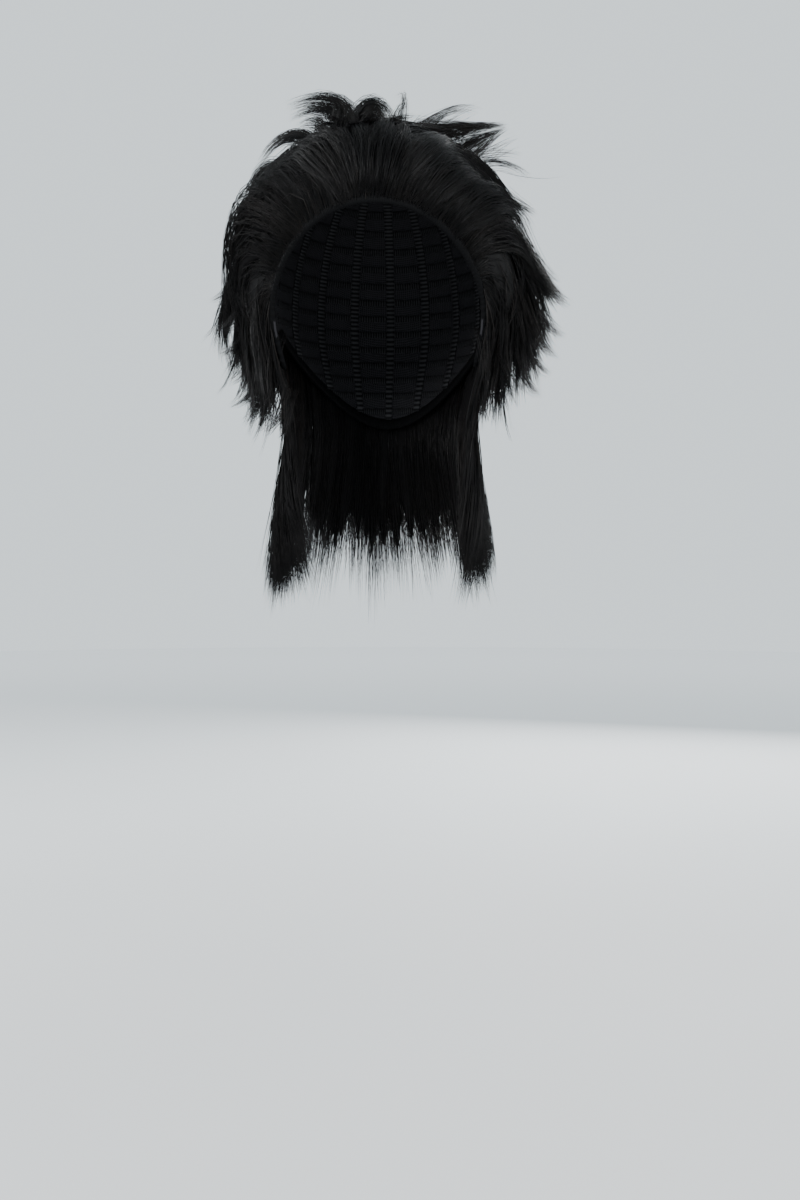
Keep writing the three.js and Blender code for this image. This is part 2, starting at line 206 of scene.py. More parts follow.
class Paint:
    """A material whose shader is fed by name."""

    def __init__(self, name, **constants):
        self.material = bpy.data.materials.new(name)
        self.material.use_nodes = True
        self.tree = self.material.node_tree
        self.shader = self.tree.nodes["Principled BSDF"]
        for socket, value in constants.items():
            self.shader.inputs[socket.replace("_", " ")].default_value = value

    def node(self, kind, settings=None, inputs=None, output=0):
        made = self.tree.nodes.new(kind)
        for key, value in (settings or {}).items():
            setattr(made, key, value)
        for key, value in (inputs or {}).items():
            self.feed(made.inputs[key], value)
        return Wire(self, made.outputs[output])

    def feed(self, socket, value):
        if isinstance(value, Wire):
            self.tree.links.new(value.socket, socket)
        else:
            socket.default_value = value

    def mix(self, share, first, second):
        settings = {"data_type": "RGBA", "clamp_factor": True}
        return self.node("ShaderNodeMix", settings, {"Factor": share, 6: first, 7: second}, 2)

    def noise(self, spot, scale, detail):
        return self.node("ShaderNodeTexNoise", {}, {"Vector": spot, "Scale": scale, "Detail": detail})

    def bump(self, height, strength, distance):
        relief = {"Height": height, "Strength": strength, "Distance": distance}
        self.set("Normal", self.node("ShaderNodeBump", {}, relief))

    def set(self, socket, value):
        self.feed(self.shader.inputs[socket], value)


OBJECT_SPOT = 3  # the output of Texture Coordinate that gives a place on the object itself
print("what a paint can do:", [name for name in vars(Paint) if not name.startswith("_")])

# %% [markdown]
# ## Fibre
# Synthetic hair is nearly black and has a soft shine. One even black would look like moulded rubber. What
# makes it read as hair is that no two fibres are alike, so every hair carries three numbers in an attribute:
# its shade, how far along it a point lies, and how dull it is. Tips are a little paler, as light shines
# through them, and only the least dull hairs have a clear coat, which gives the loose, bright streaks.


# %% Hair material
def hair_paint():
    paint = Paint("hair_fibre", Specular_IOR_Level=0.12, Coat_Roughness=0.20)
    black, umber, tip = (0.0025, 0.0025, 0.0028, 1), (0.0095, 0.0076, 0.0066, 1), (0.0095, 0.0090, 0.0098, 1)
    own = paint.node("ShaderNodeAttribute", {"attribute_name": "strand"})
    shade = paint.node("ShaderNodeSeparateColor", {}, {0: own})
    along, dull = shade.beside(1), shade.beside(2)
    patch = paint.noise(paint.node("ShaderNodeTexCoord", output=OBJECT_SPOT), 28, 2)
    body = paint.mix(shade * shade * patch * 2, black, umber)
    paint.set("Base Color", paint.mix(along * along * 0.35, body, tip))
    paint.set("Roughness", 0.30 + dull * 0.22)
    paint.set("Coat Weight", (1 - dull) ** 6 * 0.9)
    return paint.material


HAIR_FIBRE = hair_paint()
print("hair is drawn with", len(HAIR_FIBRE.node_tree.nodes), "nodes")

# %% [markdown]
# ## The dark inside of a lock
# A real lock is so full of fibres that its inside is in shade. Drawing all of them would take millions of
# faces. A dull body inside each lock gives the same darkness for little more than a hundred, so it has a
# material with hardly any shine.


# %% Core material
def core_paint():
    paint = Paint("lock_core", Specular_IOR_Level=0.02)
    patch = paint.noise(paint.node("ShaderNodeTexCoord", output=OBJECT_SPOT), 160, 3)
    paint.set("Base Color", paint.mix(patch, (0.0038, 0.0038, 0.0041, 1), (0.0080, 0.0075, 0.0076, 1)))
    paint.set("Roughness", 0.8 + patch * 0.2)
    return paint.material


LOCK_CORE = core_paint()
print("cores are drawn with", len(LOCK_CORE.node_tree.nodes), "nodes")

# %% [markdown]
# ## The run of a hair
# A hair leaves its root, rises and falls to its tip. Blender's own hair could be combed by hand, but a run
# that is worked out can be changed with a number. Each lock has a root, a rise and a tip, and its hairs bend
# along the curve that these three pull. To give a hair width, one must know which way is across it. That
# direction is carried on from each point to the next, so that the hair never twists over.


# %% Curves of hairs
CARRIED = 0.4  # how much of the direction across is carried on to the next point
LEAST = 1e-9  # keeps a length of nothing from being divided by


def bend(points, share):
    root, rise, tip = points[:, 0], points[:, 1], points[:, 2]
    share = share[..., None]
    near = root[:, None] + (rise - root)[:, None] * share
    far = rise[:, None] + (tip - rise)[:, None] * share
    return near + (far - near) * share


def unit(vectors):
    return vectors / np.maximum(np.linalg.norm(vectors, axis=-1, keepdims=True), LEAST)


def tangents(paths):
    return unit(np.gradient(paths, axis=1))


def sides(along, normals):
    """Unit vectors across each hair, carried on from one point to the next so that they never flip."""
    across = np.zeros_like(along)
    carried = np.zeros_like(along[:, 0])
    for k in range(along.shape[1]):
        side = np.cross(along[:, k], normals[:, k]) + CARRIED * carried
        side -= along[:, k] * np.sum(side * along[:, k], -1, keepdims=True)
        carried = unit(side)
        across[:, k] = carried
    return across


arch = np.array([[[0, 0, 0], [0, 0, 1], [1, 0, 1]]], float)
print("half way along an arch:", bend(arch, np.array([[0.5]]))[0, 0].tolist())

# %% [markdown]
# ## Hairs as tubes
# Blender can draw curves with a bevel, and an object for each hair, but neither stays quick with thousands
# of hairs. Here a hair is a thin closed tube of three sides that ends in a point, and all the tubes of a
# piece are worked out at once as arrays and put in one mesh.


# %% Hairs as closed tubes
HAIR_CORNERS = 3
ASLANT = np.array([0.31, 0.17, 0.93])  # a direction that no hair keeps to, from which its sides are turned


def tube_faces(rings, corners):
    """The triangles of one tube: a flat root, rings of corners and a pointed end."""
    faces = [(0, k, k + 1) for k in range(1, corners - 1)]
    for ring in range(rings - 2):
        for k in range(corners):
            a, b = corners * ring + k, corners * ring + (k + 1) % corners
            faces += [(a, b + corners, b), (a, a + corners, b + corners)]
    last, point = corners * (rings - 2), corners * (rings - 1)
    return faces + [(last + k, point, last + (k + 1) % corners) for k in range(corners)]


def tubes_along(paths, across, out, half, traits, corners):
    """Points, faces and strand numbers of a tube for each path. Half is its size across and out."""
    count, rings = paths.shape[:2]
    walls = []
    for k in range(corners):
        angle = 2 * math.pi * k / corners
        walls.append(paths + across * half[..., :1] * math.cos(angle) + out * half[..., 1:] * math.sin(angle))
    body = np.stack(walls, 2)[:, : rings - 1].reshape(count, -1, 3)
    points = np.concatenate([body, paths[:, -1:]], 1)
    each = points.shape[1]
    faces = np.array(tube_faces(rings, corners))[None] + (np.arange(count) * each)[:, None, None]
    strand = np.ones((count, each, 4))
    strand[:, :, 0] = traits[:, :1]
    strand[:, :, 1] = np.append(np.repeat(np.linspace(0, 1, rings)[:-1], corners), 1.0)
    strand[:, :, 2] = traits[:, 1:]
    return points.reshape(-1, 3), faces.reshape(-1, 3), strand.reshape(-1, 4)


def hair_tubes(paths, radii, traits):
    """Three sides are enough for a hair, at a fraction of a millimetre."""
    along = tangents(paths)
    across = sides(along, np.broadcast_to(ASLANT, paths.shape))
    half = np.stack([radii, radii], -1)
    return tubes_along(paths, across, np.cross(across, along), half, traits, HAIR_CORNERS)


print("faces of a straight tube of 2 rings:", len(tube_faces(2, HAIR_CORNERS)))


# %% One mesh from many tubes
def tube_mesh(name, tubes):
    starts = np.cumsum([0] + [len(points) for points, _, _ in tubes])
    points = np.concatenate([points for points, _, _ in tubes])
    faces = np.concatenate([faces + start for (_, faces, _), start in zip(tubes, starts)])
    colours = np.concatenate([strand for _, _, strand in tubes])
    mesh = bpy.data.meshes.new(name)
    mesh.vertices.add(len(points))
    mesh.vertices.foreach_set("co", points.ravel())
    mesh.loops.add(faces.size)
    mesh.loops.foreach_set("vertex_index", faces.ravel())
    mesh.polygons.add(len(faces))
    mesh.polygons.foreach_set("loop_start", np.arange(0, faces.size, 3))
    mesh.update(calc_edges=True)
    strand = mesh.attributes.new("strand", "FLOAT_COLOR", "POINT")
    strand.data.foreach_set("color", colours.ravel())
    mesh.shade_smooth()
    return mesh


one_path =np.linspace((0, 0, 0), (0, 0, 0.02), 7)[None]
one_hair = tube_mesh("one_hair", [hair_tubes(one_path, np.full((1, 7), 0.0003), np.zeros((1, 2)))])
print("a hair of 7 rings has", len(one_hair.vertices), "points and", len(one_hair.polygons), "faces")
bpy.data.meshes.remove(one_hair)

# %% [markdown]
# ## Tufts inside a lock
# Cut hair doesn't end in one brush. Its fibres gather in tufts, each of which draws together towards an end
# of its own, and that is what looks choppy. So every lock gets a handful of tufts, each with its place in the
# lock, its reach, its lean, its shade and its dullness, and every hair belongs to one of them.


# %% Tufts of every lock
INNERMOST = 0.05  # the least share of a lock's area, counted from its middle, at which a tuft stands
DOME_AT = 0.3  # how far from the middle a tuft has a plain reach. Those nearer the middle reach further
LEAN_MOST = 1.5


def tufts_of(locks, style, rng):
    shape = (locks, style["tufts"])
    angle = rng.uniform(0, 2 * math.pi, shape)
    size = np.sqrt(rng.uniform(INNERMOST, 1, shape))
    centre = np.stack([size * np.cos(angle), size * np.sin(angle)], -1)
    reach = 1 + style["dome"] * (DOME_AT - size) + rng.uniform(-1, 1, shape) * style["uneven"]
    lean = np.clip(rng.normal(0, 1, (*shape, 2)), -LEAN_MOST, LEAN_MOST) * style["lean"]
    lean = lean + np.array([0, style["flick"]])
    tone = 0.3 * rng.random((locks, 1)) + 0.4 * rng.random(shape)
    dull = 0.2 + 0.3 * rng.random((locks, 1)) + 0.3 * rng.random(shape)
    return centre, reach, lean, np.stack([tone, dull], -1)


def thickness(share, radius):
    """Each hair's radius along its length: slimmer at the root and thin at the tip."""
    swelling = 0.6 + 0.4 * smoothstep(share, 0, 0.25)
    return radius[:, None] * swelling * np.maximum(0.12, 1 - share**3) ** 0.8


hair_shape = thickness(np.array([0, 0.5, 1]), np.ones(1))[0]
print("a hair's thickness at root, middle and tip:", hair_shape.round(2).tolist())


# %% The room that a lock takes
NET_LIFT = 0.0022  # the least lift of a hair, which keeps it outside the net
ROOTED = 0.12  # the share of a hair, from its root, that may not hang below the cap's edge
ABOVE_EDGE = 0.0015
FLAT_ROOT = 0.15  # a lock's depth at its root, as a share of its width there


def lock_frames(guide, share):
    """Paths along locks with their directions across and out. Their roots stay above the cap's edge."""
    spots = bend(guide, share)
    rooted = np.minimum(spots[..., 1], drop_of(edge_depth(spots[..., 0]) - ABOVE_EDGE))
    drop = np.where(share < ROOTED, rooted, spots[..., 1])
    paths, normals = place(spots[..., 0], drop, np.maximum(spots[..., 2], NET_LIFT))
    along = tangents(paths)
    across = sides(along, normals)
    return paths, across, np.cross(across, along)


def fullness(share, blunt, style):
    """How wide and how deep a lock is along its length, as shares of its full size."""
    narrow = np.maximum(style["point"], 1 - np.clip(share, 0, 1) ** blunt)
    wide = (style["waist"] + (1 - style["waist"]) * smoothstep(share, 0, style["swell"])) * narrow
    return np.stack([wide, wide * (FLAT_ROOT + (1 - FLAT_ROOT) * smoothstep(share, 0, 0.4))], -1)


print("a hair's least lift in mm:", 1000 * NET_LIFT)


# %% Hairs of one tier of locks
STRAND = 0.00028  # half a hair's drawn thickness, which stands for a few real fibres
LOCK_RINGS = 7  # places along a hair at which its tube bends
LOOSE = 0.32  # how far hairs start from their tuft's middle
BEGIN = (-0.14, 0.08)  # the share of a lock at which its hairs begin
CROWDED = 1.25  # how far a hair's rings crowd towards its tip
LATE = 2.8  # how late along a hair its lean shows
DRAWN = (0.7, 1.2)  # the least and most thickness of a hair, as shares of a strand's
WILD_STRAY, WILD_THIN = 3, 0.55  # how much further the wild hairs stray, and how thin they are


def swayed(share, lean, style, rng):
    """Which hairs are wild, and how far each leans, strays and ripples from its lock, mostly at its end."""
    hairs = len(share)
    grown = np.maximum(share, 0)
    stray = np.clip(rng.normal(0, 1, (hairs, 2)), -1.8, 1.8) * style["stray"]
    wild = rng.random(hairs) < style["wild"]
    stray[wild] *= WILD_STRAY
    wave = rng.uniform(0, 2 * math.pi, (hairs, 2))
    ripple = np.sin(share[..., None] * rng.uniform(3, 7, (hairs, 1, 1)) + wave[:, None]) * style["ripple"]
    return wild, (lean + stray)[:, None] * (grown**LATE)[..., None] + ripple * grown[..., None]


def lay_locks(guides, half, blunt, hairs, style, rng):
    """Hairs spread over locks. Guides hold each lock's root, rise and tip, and half its two sizes."""
    locks = rng.integers(0, len(guides), hairs)
    beside = np.minimum(locks + 1, len(guides) - 1)
    towards = (rng.random(hairs) * style["even"])[:, None]
    guide = guides[locks] + (guides[beside] - guides[locks]) * towards[..., None]
    width = half[locks] + (half[beside] - half[locks]) * towards
    centre, reach, lean, look = tufts_of(len(guides), style, rng)
    tuft = rng.integers(0, style["tufts"], hairs)
    start = centre[locks, tuft] + rng.normal(0, LOOSE, (hairs, 2))
    start /= np.maximum(1, np.linalg.norm(start, axis=1))[:, None]
    end = centre[locks, tuft] + rng.normal(0, style["fray"], (hairs, 2))
    length = reach[locks, tuft] * (1 + rng.uniform(-1, 0.35, hairs) * style["ends"])
    begin = rng.uniform(*BEGIN, hairs)[:, None]

    steps = 1 - (1 - np.linspace(0, 1, LOCK_RINGS)) ** CROWDED
    share = begin + steps[None] * (length[:, None] - begin)
    paths, across, out = lock_frames(guide, share)
    gather = smoothstep(share, 0.1, 1.0) * style["gather"]
    spread = start[:, None] * (1 - gather)[..., None] + end[:, None] * gather[..., None]
    wild, sway = swayed(share, lean[locks, tuft], style, rng)
    offset = spread * fullness(share, blunt, style) * width[:, None] + sway
    paths = paths + across * offset[..., :1] + out * offset[..., 1:]
    radius = STRAND * style["thick"] * rng.uniform(*DRAWN, hairs) * np.where(wild, WILD_THIN, 1)
    traits = look[locks, tuft] + 0.25 * rng.random((hairs, 2))
    return hair_tubes(paths, thickness(steps, radius), traits)


print("a hair is drawn", round(2000 * STRAND, 2), "mm thick")

# %% [markdown]
# ## Cores
# A core is a smooth tube of eight sides that runs inside its lock. It could be as long as the lock, but then
# it would show at the choppy ends, so it stops short of them and lies a little below the lock's middle.


# %% Cores inside the locks
CORE_SHARE, CORE_REACH = 0.45, 0.80  # a core's size and length as shares of its lock's
CORE_SUNK = 0.25  # how far a core lies under the middle of its lock, as a share of the lock's half depth
CORE_RINGS, CORE_CORNERS = 9, 8
CORE_TRAITS = [0.0, 1.0]


def lay_cores(guides, half, blunt, style):
    """A dark closed core inside each lock, so that no light comes between its hairs."""
    share = np.repeat(np.linspace(0.0, CORE_REACH, CORE_RINGS)[None], len(guides), 0)
    paths, across, out = lock_frames(guides, share)
    thin = np.sin(np.linspace(0.2, math.pi, CORE_RINGS))[None, :, None] ** 0.7
    size = fullness(share, blunt, style) * half[:, None] * CORE_SHARE * thin
    paths = paths - out * half[:, None, 1:] * CORE_SUNK
    return tubes_along(paths, across, out, size, np.tile(CORE_TRAITS, (len(guides), 1)), CORE_CORNERS)


print("faces of a core:", len(tube_faces(CORE_RINGS, CORE_CORNERS)))

# %% [markdown]
# ## The locks of each region
# A wig is laid in regions: the sweep from the hairline, the crown, the sides, the back, the mane and the two
# tails. Each lock could be drawn by hand, but there are about 180 of them. So each region has tiers,
# a tier has a few locks in rows, and those between two rows are worked out from them with small differences,
# so that no two are alike. A tier gives how many locks it counts, how blunt they are, and its rows. Their
# columns are named here. Lifts are shares of the hair's body, and sizes are shares of a usual lock's.

# %% Front and crown
LOCK_COLUMNS = (
    *("root_turn", "root_drop"),
    *("rise_turn", "rise_drop", "rise_lift"),
    *("tip_turn", "tip_drop", "tip_lift"),
    *("width", "depth"),
)
FRONT_TIERS = {
    "front_sweep": [
        (7, 2.5, [
            (-58, 0.86, -76, 0.7, 1.1, -96, 1.3, 0.72, 1.6, 1.7),
            (-42, 0.72, -70, 0.38, 1.42, -90, 1.08, 0.75, 1.6, 1.8),
            (-18, 0.62, -42, 0.28, 0.82, -80, 0.6, 0.62, 1.5, 1.5),
            (-11, 0.6, -20, 0.34, 0.6, -46, 0.18, 0.45, 1.5, 1.3),
        ]),
        (6, 2.5, [
            (-8, 0.6, -6, 0.38, 0.52, -20, 0.06, 0.35, 1.5, 1.2),
            (14, 0.6, 30, 0.36, 0.62, 78, 0.36, 0.55, 1.6, 1.3),
            (36, 0.68, 58, 0.48, 0.55, 88, 0.66, 0.75, 1.3, 1.4),
            (56, 0.82, 72, 0.68, 0.85, 90, 0.94, 1.05, 1.2, 1.4),
        ]),
    ],
    "crown": [
        (10, 2.5, [
            (52, 0.32, 84, 0.48, 0.75, 104, 0.74, 1.0, 1.5, 1.3),
            (96, 0.24, 108, 0.5, 0.85, 116, 0.8, 1.1, 1.6, 1.4),
            (180, 0.22, 180, 0.5, 1.35, 180, 0.84, 1.2, 1.9, 1.6),
            (264, 0.24, 252, 0.5, 1.0, 246, 0.8, 1.15, 1.6, 1.4),
            (308, 0.32, 278, 0.48, 0.95, 256, 0.74, 1.1, 1.5, 1.3),
        ]),
        (5, 2.5, [
            (-44, 0.16, -75, 0.22, 0.5, -118, 0.42, 0.7, 1.4, 1),
            (0, 0.12, 60, 0.06, 0.3, 178, 0.34, 0.6, 1.4, 1),
        ]),
    ],
}
print("tiers of the front and the crown:", sum(map(len, FRONT_TIERS.values())))

# %% Sides
SIDE_TIERS = {
    "left_side": [
        (3, 2.5, [
            (-104, 0.62, -110, 0.93, 1.1, -104, 1.07, 1.3, 1, 1),
            (-78, 0.70, -90, 0.98, 1.15, -92, 1.16, 1.2, 1.3, 1.2),
        ]),
        (5, 2.5, [
            (-110, 0.74, -112, 1.05, 0.9, -104, 1.18, 1.1, 1, 1.2),
            (-94, 0.78, -100, 1.08, 0.85, -96, 1.22, 1.0, 1, 1.2),
            (-76, 0.84, -84, 1.08, 0.6, -86, 1.3, 0.85, 1, 1.2),
        ]),
        (5, 2.5, [
            (-106, 0.88, -112, 1.18, 0.95, -106, 1.3, 1.2, 1.2, 1.3),
            (-88, 0.92, -94, 1.22, 0.85, -92, 1.38, 1.0, 1.2, 1.3),
            (-74, 0.94, -76, 1.2, 0.3, -84, 1.48, 0.5, 1.1, 1.1),
        ]),
    ],
    "right_side": [
        (3, 2.5, [
            (80, 0.66, 88, 0.95, 0.95, 90, 1.08, 1.25, 1.3, 1.4),
            (104, 0.58, 104, 0.87, 1.1, 98, 0.98, 1.25, 1.3, 1.4),
        ]),
        (5, 2.5, [
            (76, 0.84, 84, 1.04, 0.6, 86, 1.22, 0.8, 1, 1.2),
            (94, 0.76, 98, 1.02, 0.85, 95, 1.15, 1.3, 1, 1.2),
            (110, 0.72, 110, 1.02, 1.0, 102, 1.12, 1.25, 1, 1.2),
        ]),
        (5, 2.5, [
            (74, 0.94, 76, 1.18, 0.3, 84, 1.42, 0.5, 1.1, 1),
            (88, 0.92, 90, 1.15, 0.85, 92, 1.3, 1.1, 1.2, 1.2),
            (106, 0.88, 104, 1.1, 1.1, 98, 1.21, 1.3, 1.2, 1.4),
        ]),
    ],
}
print("tiers of the sides:", sum(map(len, SIDE_TIERS.values())))

# %% Back, mane and tails
BACK_TIERS = {
    "upper_back": [
        (7, 2.5, [
            (118, 0.66, 116, 0.9, 1.2, 112, 1.16, 1.2, 1.6, 1.3),
            (180, 0.66, 180, 0.95, 1.3, 180, 1.2, 1.1, 2, 1.5),
            (242, 0.66, 246, 0.9, 1.2, 248, 1.16, 1.2, 1.6, 1.3),
        ]),
    ],
    "lower_back": [
        (7, 3, [
            (118, 0.95, 114, 1.18, 0.8, 112, 1.4, 0.8, 1.4, 1.3),
            (180, 0.95, 180, 1.2, 0.9, 180, 1.5, 0.9, 1.7, 1.5),
            (242, 0.95, 246, 1.18, 0.8, 248, 1.42, 0.8, 1.4, 1.3),
        ]),
    ],
    "mane": [
        (7, 5, [
            (136, 1.12, 132, 1.55, 0.3, 118, 1.94, 0.5, 1.1, 1.2),
            (180, 1.2, 180, 1.6, 0.4, 180, 2.04, 0.6, 1.1, 1.3),
            (226, 1.12, 230, 1.55, 0.3, 243, 1.96, 0.5, 1.5, 1.2),
        ]),
    ],
    "left_tail": [
        (4, 9, [
            (-128, 1.1, -118, 1.6, 0.5, -98, 2.02, 0.8, 1.25, 1.3),
            (-115, 1.1, -90, 1.5, 0.2, -43, 2.01, 0.15, 1.4, 1.2),
        ]),
    ],
    "right_tail": [
        (4, 15, [
            (115, 1.1, 104, 1.5, 0.1, 54, 2.03, 0.35, 1.4, 1.5),
            (128, 1.1, 112, 1.6, 0.1, 88, 2.0, 0.65, 1.4, 1.5),
        ]),
    ],
}
TIERS = FRONT_TIERS | SIDE_TIERS | BACK_TIERS
print("regions:", list(TIERS))

# %% [markdown]
# ## Styles
# The sweep is smooth, the sides are spiky, and the long hair ends like a brush. One could write a function
# for each, but they differ only in amounts. A style is a small set of amounts, and most of them start from
# another style and change a few.

# %% Styles of hair
# Tufts is how many a lock has. Dome, uneven and ends shape their reach, lean and flick bend their ends, and
# fray, gather and point say how they close. Stray, wild and ripple loosen hairs. Waist and swell shape a
# lock's width, thick is how thick its hairs are drawn, and even spreads them between the locks.
CHOPPY = dict(
    tufts=8, dome=0.20, uneven=0.13, ends=0.10, lean=0.0050, flick=0.0020, fray=0.06, gather=0.95, point=0.60,
    stray=0.0009, wild=0.04, ripple=0.0004, waist=0.6, swell=0.3, thick=1.0, even=0.0,
)
SPIKY = dict(CHOPPY, tufts=7, uneven=0.15, lean=0.0042, flick=0.0072, fray=0.08, stray=0.0013, wild=0.10)
SMOOTH = dict(
    CHOPPY, tufts=9, dome=0.10, uneven=0.12, ends=0.28, lean=0.0032, flick=0.0, fray=0.30, gather=0.50,
    point=0.40, wild=0.05, thick=0.95,
)
BRUSH = dict(
    CHOPPY, tufts=14, dome=0.05, uneven=0.03, ends=0.05, lean=0.0015, flick=0.0, fray=0.45, gather=0.20,
    point=0.80, stray=0.0012, wild=0.06, ripple=0.0006, thick=0.95, even=1.0,
)
DRAPED = dict(BRUSH, dome=0.16, uneven=0.08, ends=0.18, fray=0.30, gather=0.55)
FEATHERED = dict(BRUSH, dome=0.06, point=0.95, stray=0.0016, wild=0.10, waist=0.55, swell=0.75, thick=1.15)
PAINTBRUSH = dict(
    BRUSH, dome=0.16, gather=0.45, point=0.55, stray=0.0014, wild=0.08, waist=0.25, swell=0.80, thick=1.1
)
print("amounts in a style:", len(CHOPPY))

# %% What covers each region
# The turns and drops of the backing that a region is sewn on, and its lift as a share of the body
BACKINGS = {
    "front_sweep": ((-62, 62), (0.43, 2), 0.36),
    "crown": ((0, 360), (0, 0.41), 0.40),
    "left_side": ((-112, -63), (0.43, 2), 0.60),
    "right_side": ((63, 112), (0.43, 2), 0.60),
    "upper_back": ((113, 247), (0.43, 0.82), 0.60),
    "lower_back": ((113, 247), (0.84, 1.06), 0.50),
    "mane": ((132, 228), (1.08, 1.3), 0.42),
    "left_tail": ((-131, -113), (1.08, 1.3), 0.42),
    "right_tail": ((113, 131), (1.08, 1.3), 0.40),
}

# Its style, how many times the locks that its tiers count are drawn, and the hairs in them and on the ground
COVERS = {
    "front_sweep": (SMOOTH, 1.2, 2900, 1300),
    "crown": (CHOPPY, 2.2, 2900, 1100),
    "left_side": (SPIKY, 2.2, 1650, 500),
    "right_side": (SPIKY, 2.2, 1650, 500),
    "upper_back": (CHOPPY, 2.2, 2200, 800),
    "lower_back": (CHOPPY, 2.2, 1650, 450),
    "mane": (DRAPED, 3.0, 2700, 0),
    "left_tail": (FEATHERED, 3.0, 1500, 0),
    "right_tail": (PAINTBRUSH, 3.0, 1300, 0),
}
print("hairs in locks:", sum(hairs for _, _, hairs, _ in COVERS.values()))

# %% Locks between the rows
LOCK_WIDTH, LOCK_DEPTH = 0.026, 0.011
CAP_SKIN = 0.0027  # the cap's wall and the gap under a backing
SEED = 7


def guides_of(tier, root_lift, finer, rng):
    """Root, rise and tip of a tier's locks, half their sizes, and how blunt they are."""
    count, blunt, table = tier
    total = round(count * finer)
    at = np.linspace(0, len(table) - 1, total)
    columns = zip(LOCK_COLUMNS, zip(*table))
    lock = {name: np.interp(at, np.arange(len(table)), values) for name, values in columns}
    lock["root_lift"] = np.full(total, root_lift / BODY)
    lock["root_turn"] += rng.uniform(-3, 3, total)
    lock["root_drop"] += rng.uniform(-0.03, 0.03, total)
    lock["tip_turn"] += rng.uniform(-6, 6, total)
    lock["tip_drop"] += rng.uniform(-0.06, 0.04, total)
    lock["tip_lift"] += rng.uniform(-0.16, 0.14, total)
    spots = [
        np.stack([lock[spot + "_turn"], lock[spot + "_drop"], lock[spot + "_lift"] * BODY], -1)
        for spot in ("root", "rise", "tip")
    ]
    half = np.stack([lock["width"] * LOCK_WIDTH, lock["depth"] * LOCK_DEPTH], -1) / 2
    return np.stack(spots, 1), half * rng.uniform(0.8, 1.15, (total, 1)), blunt


rng = np.random.default_rng(SEED)
GUIDES = {}
for region, tiers in TIERS.items():
    root_lift = (CAP_SKIN + BACKINGS[region][2] * BODY) / 2
    GUIDES[region] = [guides_of(tier, root_lift, COVERS[region][1], rng) for tier in tiers]
print("locks:", sum(len(guides) for tiers in GUIDES.values() for guides, _, _ in tiers))

# %% [markdown]
# ## The ground hair
# Between the locks one must not see the cap. On the real wig the next row of fibres hides it. More locks
# would do the same at a great cost, so short ground hair covers the cap, laid the way that the nearest locks
# run. Turns mean little near the crown, so directions are compared on a flat chart on which the crown is the
# middle and the drop is the distance from it.


# %% Direction of growth
NEAR = 0.004  # keeps the nearest lock from ruling alone


def to_chart(turn, drop):
    return np.stack([drop * np.sin(np.radians(turn)), -drop * np.cos(np.radians(turn))], -1)


def from_chart(spot):
    return np.degrees(np.arctan2(spot[..., 0], -spot[..., 1])), np.linalg.norm(spot, axis=-1)


LOCKS = np.concatenate([guides for tiers in GUIDES.values() for guides, _, _ in tiers])
LOCK_ROOTS, LOCK_RISES, LOCK_TIPS = (to_chart(LOCKS[:, k, 0], LOCKS[:, k, 1]) for k in range(3))


def growth(spots):
    """The chart steps from a root to its rise and tip, taken from the locks around it."""
    away = np.linalg.norm(spots[:, None] - LOCK_ROOTS[None], axis=-1)
    weight = 1 / (away**2 + NEAR) ** 2
    weight /= weight.sum(1, keepdims=True)
    return weight @ (LOCK_RISES - LOCK_ROOTS), weight @ (LOCK_TIPS - LOCK_ROOTS)


print("growth over the hairline, on the chart:", growth(to_chart(np.zeros(1), 0.6))[1][0].round(2).tolist())


# %% Ground hair of a region
GROUND_RINGS = 5
HEM_LIFT = 0.0034  # the hair's lift at the cap's edge
HEM_EASED = 0.045  # how far from the edge it has its full lift
DROP_LENGTH = 0.17  # about how many metres of cap one whole drop spans
HEMMED = 0.35  # the share of the ground hairs that is rooted along the edge
HEM = (-0.0005, 0.004)  # how far above the edge those stand
GROUND_REACH = (0.55, 0.95)  # a ground hair's length as a share of a lock's
GROUND_RAISED = (0.0005, 0.006)
GROUND_SWAY = 0.002
GROUND_THICK = 1.1


def ground_lift(turn, drop, full):
    """Thickness of the hair on the cap, which falls to a few millimetres at the edge."""
    inside = (drop_of(edge_depth(turn)) - drop) * DROP_LENGTH
    return HEM_LIFT + (full * BODY - HEM_LIFT) * smoothstep(inside, 0, HEM_EASED)


def ground_roots(region, hairs, rng):
    turns, drops, _ = BACKINGS[region]
    turn = rng.uniform(turns[0] - 2, turns[1] + 2, hairs)
    low = np.minimum(drops[1], drop_of(edge_depth(turn) - 0.001))
    whole = drops[1] if region == "crown" else low - drops[0]
    drop = drops[0] + whole * np.sqrt(rng.uniform(0, 1, hairs))
    hemmed = rng.random(hairs) < HEMMED
    hem = drop_of(edge_depth(turn) - rng.uniform(*HEM, hairs))
    return to_chart(turn, np.where(hemmed & (low < drops[1]), hem, drop))


